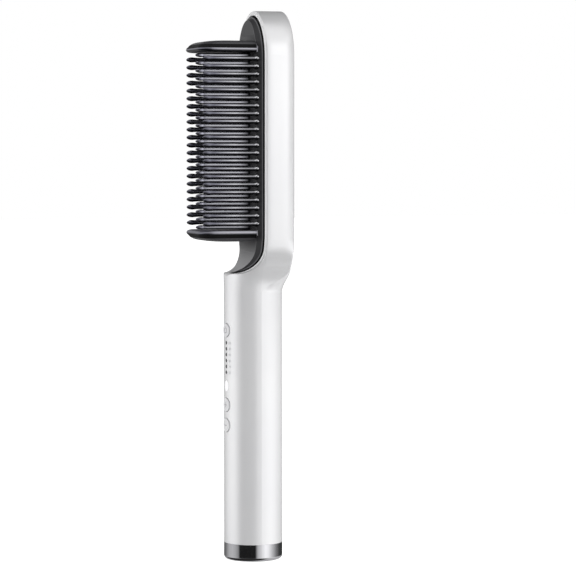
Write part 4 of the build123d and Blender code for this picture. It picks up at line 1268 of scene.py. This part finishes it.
@dataclass(frozen=True)
class Band:
    """Level band of the tent, of glowing paper whose tone goes round and drifts upwards.

    Args:
        name: the band's name.
        low: height of its lower edge.
        high: height of its upper edge.
        below: azimuths from the camera in degrees with their brightness, at the lower edge.
        above: the same at the upper edge.
    """

    name: str
    low: float
    high: float
    below: tuple[tuple[float, float], ...]
    above: tuple[tuple[float, float], ...]

    def paper(self, azimuth: float) -> Material:
        """Make the band's paper.

        Args:
            azimuth: the camera's own azimuth in degrees.

        Returns:
            The material.
        """
        paper = bpy.data.materials.new(f"tent_paper_{self.name}")
        tree = empty_tree(paper)
        place = add_node(tree, "ShaderNodeTexCoord").outputs["Object"]
        turned = add_node(tree, "ShaderNodeVectorRotate", {
            "Vector": place, "Angle": math.radians(90.0 - azimuth)}, rotation_type="Z_AXIS")
        axes = add_node(tree, "ShaderNodeSeparateXYZ", {"Vector": turned.outputs["Vector"]})
        angle = add_node(tree, "ShaderNodeMath", {0: axes.outputs["Y"], 1: axes.outputs["X"]},
                         operation="ARCTAN2")
        share = add_node(tree, "ShaderNodeMapRange", {
            "Value": angle.outputs[0], "From Min": -math.pi, "From Max": math.pi})
        top = max(tone for _, tone in (*self.below, *self.above))
        edges = []
        for tones in (self.below, self.above):
            ramp = add_node(tree, "ShaderNodeValToRGB", {"Fac": share.outputs["Result"]})
            stops = ramp.color_ramp.elements
            for stop_azimuth, _ in tones[1:-1]:
                stops.new((stop_azimuth + 180.0) / 360.0)
            for stop, (_, tone) in zip(stops, tones):
                stop.color = (tone / top, tone / top, tone / top, 1.0)
            edges.append(ramp.outputs["Color"])
        rise = add_node(tree, "ShaderNodeMapRange", {
            "Value": axes.outputs["Z"], "From Min": self.low, "From Max": self.high})
        tone = add_node(tree, "ShaderNodeMix", {
            "Factor": rise.outputs["Result"], 6: edges[0], 7: edges[1]}, data_type="RGBA")
        glow = add_node(tree, "ShaderNodeEmission", {"Color": tone.outputs[2], "Strength": top})
        add_node(tree, "ShaderNodeOutputMaterial", {"Surface": glow.outputs["Emission"]})
        return paper


@dataclass
class Tent:
    """Paper tent round the brush, bright and dark in turn, that only reflections see.

    It is sized in metres, with its heights measured from the floor.
    """

    radius: float = 1.35
    steps: int = 120
    # From below: the pit, then what the handle's foot, the cap, the handle, the neck, the
    # shoulder and the head mirror, and the dark above that shades the head's top
    bands: tuple[Band, ...] = (
        Band("pit", -1.2, -0.62, PIT_TONES, PIT_TONES),
        Band("foot", -0.62, -0.232, PIT_TONES, HANDLE_TONES),
        Band("cap", -0.232, -0.19, CAP_TONES, CAP_TONES),
        Band("handle", -0.19, 0.062, HANDLE_TONES, HANDLE_TONES),
        Band("neck", 0.062, 0.1, NECK_TONES, NECK_TONES),
        Band("shoulder", 0.1, 0.17, NECK_TONES, HEAD_TONES),
        Band("head", 0.17, 0.95, HEAD_TONES, HEAD_TONES),
        Band("eaves", 0.95, 1.2, HEAD_TONES, ROOF_TONES),
        Band("roof", 1.2, 2.6, ROOF_TONES, ROOF_TONES))

    def pitch(self, azimuth: float) -> None:
        """Stand the tent round the brush, closed below and above.

        Args:
            azimuth: the camera's azimuth in degrees, from which the bands are measured.
        """
        heights = [self.bands[0].low, *[band.high for band in self.bands]]
        rings = [[towards(azimuth + 360.0 * k / self.steps) * self.radius + Vector((0, 0, z))
                  for k in range(self.steps)] for z in heights]
        points, faces = bridge(rings)
        mesh = bpy.data.meshes.new("reflection_tent")
        mesh.from_pydata(points, [], faces)
        for band in self.bands:
            mesh.materials.append(band.paper(azimuth))
        last = len(self.bands) - 1
        rows = [row for row in range(last + 1) for _ in range(self.steps)] + [0, last]
        for face, row in zip(mesh.polygons, rows):
            face.material_index = row
        tent = put("reflection_tent", mesh)
        tent.visible_camera = False
        tent.visible_diffuse = False
        tent.visible_shadow = False
        tent.visible_transmission = False


@dataclass(frozen=True)
class Softbox:
    """Soft area light that stands round the brush, sized in metres.

    Args:
        name: the light's name.
        azimuth: where it stands, seen from the brush, in degrees from the camera.
        width: its width.
        radiance: how bright its face is, where 1 is a lit white card.
        tall: its height from edge to edge.
        distance: how far away it stands.
        height: height of its middle.
    """

    name: str
    azimuth: float
    width: float
    radiance: float
    tall: float = 1.1
    distance: float = 1.3
    height: float = 0.55

    def stand(self, azimuth: float, target: Vector) -> None:
        """Stand the light, turned to a target.

        Args:
            azimuth: the camera's azimuth in degrees.
            target: the point that it lights.
        """
        data = bpy.data.lights.new(self.name, "AREA")
        data.shape = "RECTANGLE"
        data.size = self.width
        data.size_y = self.tall
        data.energy = self.radiance * math.pi * self.width * self.tall
        light = put(self.name, data)
        light.location = (towards(azimuth + self.azimuth) * self.distance
                          + Vector((0, 0, self.height)))
        light.rotation_mode = "QUATERNION"
        light.rotation_quaternion = (target - light.location).to_track_quat("-Z", "Y")
        light.visible_glossy = False


@dataclass
class Studio:
    """Pale floor, soft side lights and a camera at the viewing angle of the picture.

    Lengths are in metres, angles in degrees, and what ends in pixels is measured in the
    picture: the focal length, its width, the handle's axis and the horizon.
    """

    azimuth: float = 73.0
    distance: float = 1.380
    camera_height: float = 0.2206
    focal_pixels: float = 2609.0
    frame_pixels: float = 576.0
    axis_pixels: float = 252.9
    horizon_pixels: float = 143.0
    # The white room as a light: its strength near the floor, the share left overhead, and the
    # upward parts of a direction between which it falls
    ambient: float = 0.94
    zenith_share: float = 0.3
    fade_slopes: tuple[float, float] = (0.05, 0.8)
    floor_reach: float = 6.0
    floor_glow: float = 0.85
    softboxes: tuple[Softbox, ...] = (Softbox("left_softbox", -92.0, 1.0, 1.85),
                                      Softbox("right_softbox", 62.0, 1.2, 2.3))
    # The point that both softboxes face
    target: tuple[float, float, float] = (0.0, 0.0, 0.15)
    tent: Tent = field(default_factory=Tent)

    def camera(self) -> None:
        """Place the camera so that the handle's axis and the horizon fall as in the picture."""
        data = bpy.data.cameras.new("camera")
        data.sensor_width = 36.0
        data.lens = self.focal_pixels * data.sensor_width / self.frame_pixels
        data.clip_end = 20.0
        camera = put("camera", data)
        back = towards(self.azimuth)
        right = Vector((-back.y, back.x, 0.0))
        middle = self.frame_pixels / 2
        aim = (-back + right * (middle - self.axis_pixels) / self.focal_pixels
               - Vector((0.0, 0.0, 1.0)) * (middle - self.horizon_pixels) / self.focal_pixels)
        camera.location = back * self.distance + Vector((0.0, 0.0, self.camera_height))
        camera.rotation_mode = "QUATERNION"
        camera.rotation_quaternion = aim.to_track_quat("-Z", "Y")
        bpy.context.scene.camera = camera

    def seen_directly(self, tree: NodeTree) -> NodeSocket:
        """Tell which rays bring the eye a direct sight.

        Args:
            tree: the node tree that asks.

        Returns:
            A socket with one for a ray of the camera, a reflection or a transmission.
        """
        path = add_node(tree, "ShaderNodeLightPath").outputs
        seen = path["Is Camera Ray"]
        for kind in ("Is Glossy Ray", "Is Transmission Ray"):
            seen = add_node(tree, "ShaderNodeMath", {0: seen, 1: path[kind]},
                            operation="MAXIMUM").outputs[0]
        return seen

    def world(self) -> None:
        """White world for the eye and for reflections, softer as a light, most so above."""
        world = bpy.data.worlds.new("white_room")
        tree = empty_tree(world)
        sky = add_node(tree, "ShaderNodeTexCoord")
        axes = add_node(tree, "ShaderNodeSeparateXYZ", {"Vector": sky.outputs["Generated"]})
        dimmed = add_node(tree, "ShaderNodeMapRange", {
            "Value": axes.outputs["Z"], "From Min": self.fade_slopes[0],
            "From Max": self.fade_slopes[1], "To Min": self.ambient,
            "To Max": self.zenith_share * self.ambient})
        fill = add_node(tree, "ShaderNodeBackground", {
            "Color": linear("#FFFFFF"), "Strength": dimmed.outputs["Result"]})
        seen = add_node(tree, "ShaderNodeBackground", {
            "Color": linear("#FFFFFF"), "Strength": 1.0})
        both = add_node(tree, "ShaderNodeMixShader", {
            0: self.seen_directly(tree), 1: fill.outputs[0], 2: seen.outputs[0]})
        add_node(tree, "ShaderNodeOutputWorld", {"Surface": both.outputs[0]})
        bpy.context.scene.world = world

    def floor(self) -> None:
        """Pale floor that keeps the brush's shadow and is white to the eye."""
        mesh = bpy.data.meshes.new("floor")
        corners = ((-1, -1), (1, -1), (1, 1), (-1, 1))
        mesh.from_pydata([(x * self.floor_reach, y * self.floor_reach, 0) for x, y in corners],
                         [], [(0, 1, 2, 3)])
        paper = bpy.data.materials.new("white_paper")
        tree = empty_tree(paper)
        matte = add_node(tree, "ShaderNodeBsdfDiffuse", {"Color": linear("#F2F2F2")})
        glow = add_node(tree, "ShaderNodeEmission", {
            "Color": linear("#FFFFFF"), "Strength": self.floor_glow})
        sight = add_node(tree, "ShaderNodeMixShader", {
            0: self.seen_directly(tree), 2: glow.outputs[0]})
        total = add_node(tree, "ShaderNodeAddShader", {
            0: matte.outputs[0], 1: sight.outputs[0]})
        add_node(tree, "ShaderNodeOutputMaterial", {"Surface": total.outputs[0]})
        mesh.materials.append(paper)
        floor = put("floor", mesh)
        floor.visible_glossy = False

    def build(self) -> None:
        """Set up camera, world, floor, lights and tent."""
        bpy.context.scene.view_settings.view_transform = "Standard"
        self.camera()
        self.world()
        self.floor()
        self.tent.pitch(self.azimuth)
        for softbox in self.softboxes:
            softbox.stand(self.azimuth, Vector(self.target))


def main() -> None:
    """Build the brush around its frame, dress it and light it."""
    logging.basicConfig(level=logging.INFO, format="%(name)s: %(message)s")
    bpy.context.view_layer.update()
    Mouldings().dress(frame["nodes"])
    for assembly in (CombHead(), Keypad()):
        for piece in assembly.build():
            LOG.info("%s made %s with %d faces", type(assembly).__name__, piece.name,
                     len(piece.data.polygons))
    Studio().build()


if __name__ == "__main__":
    main()
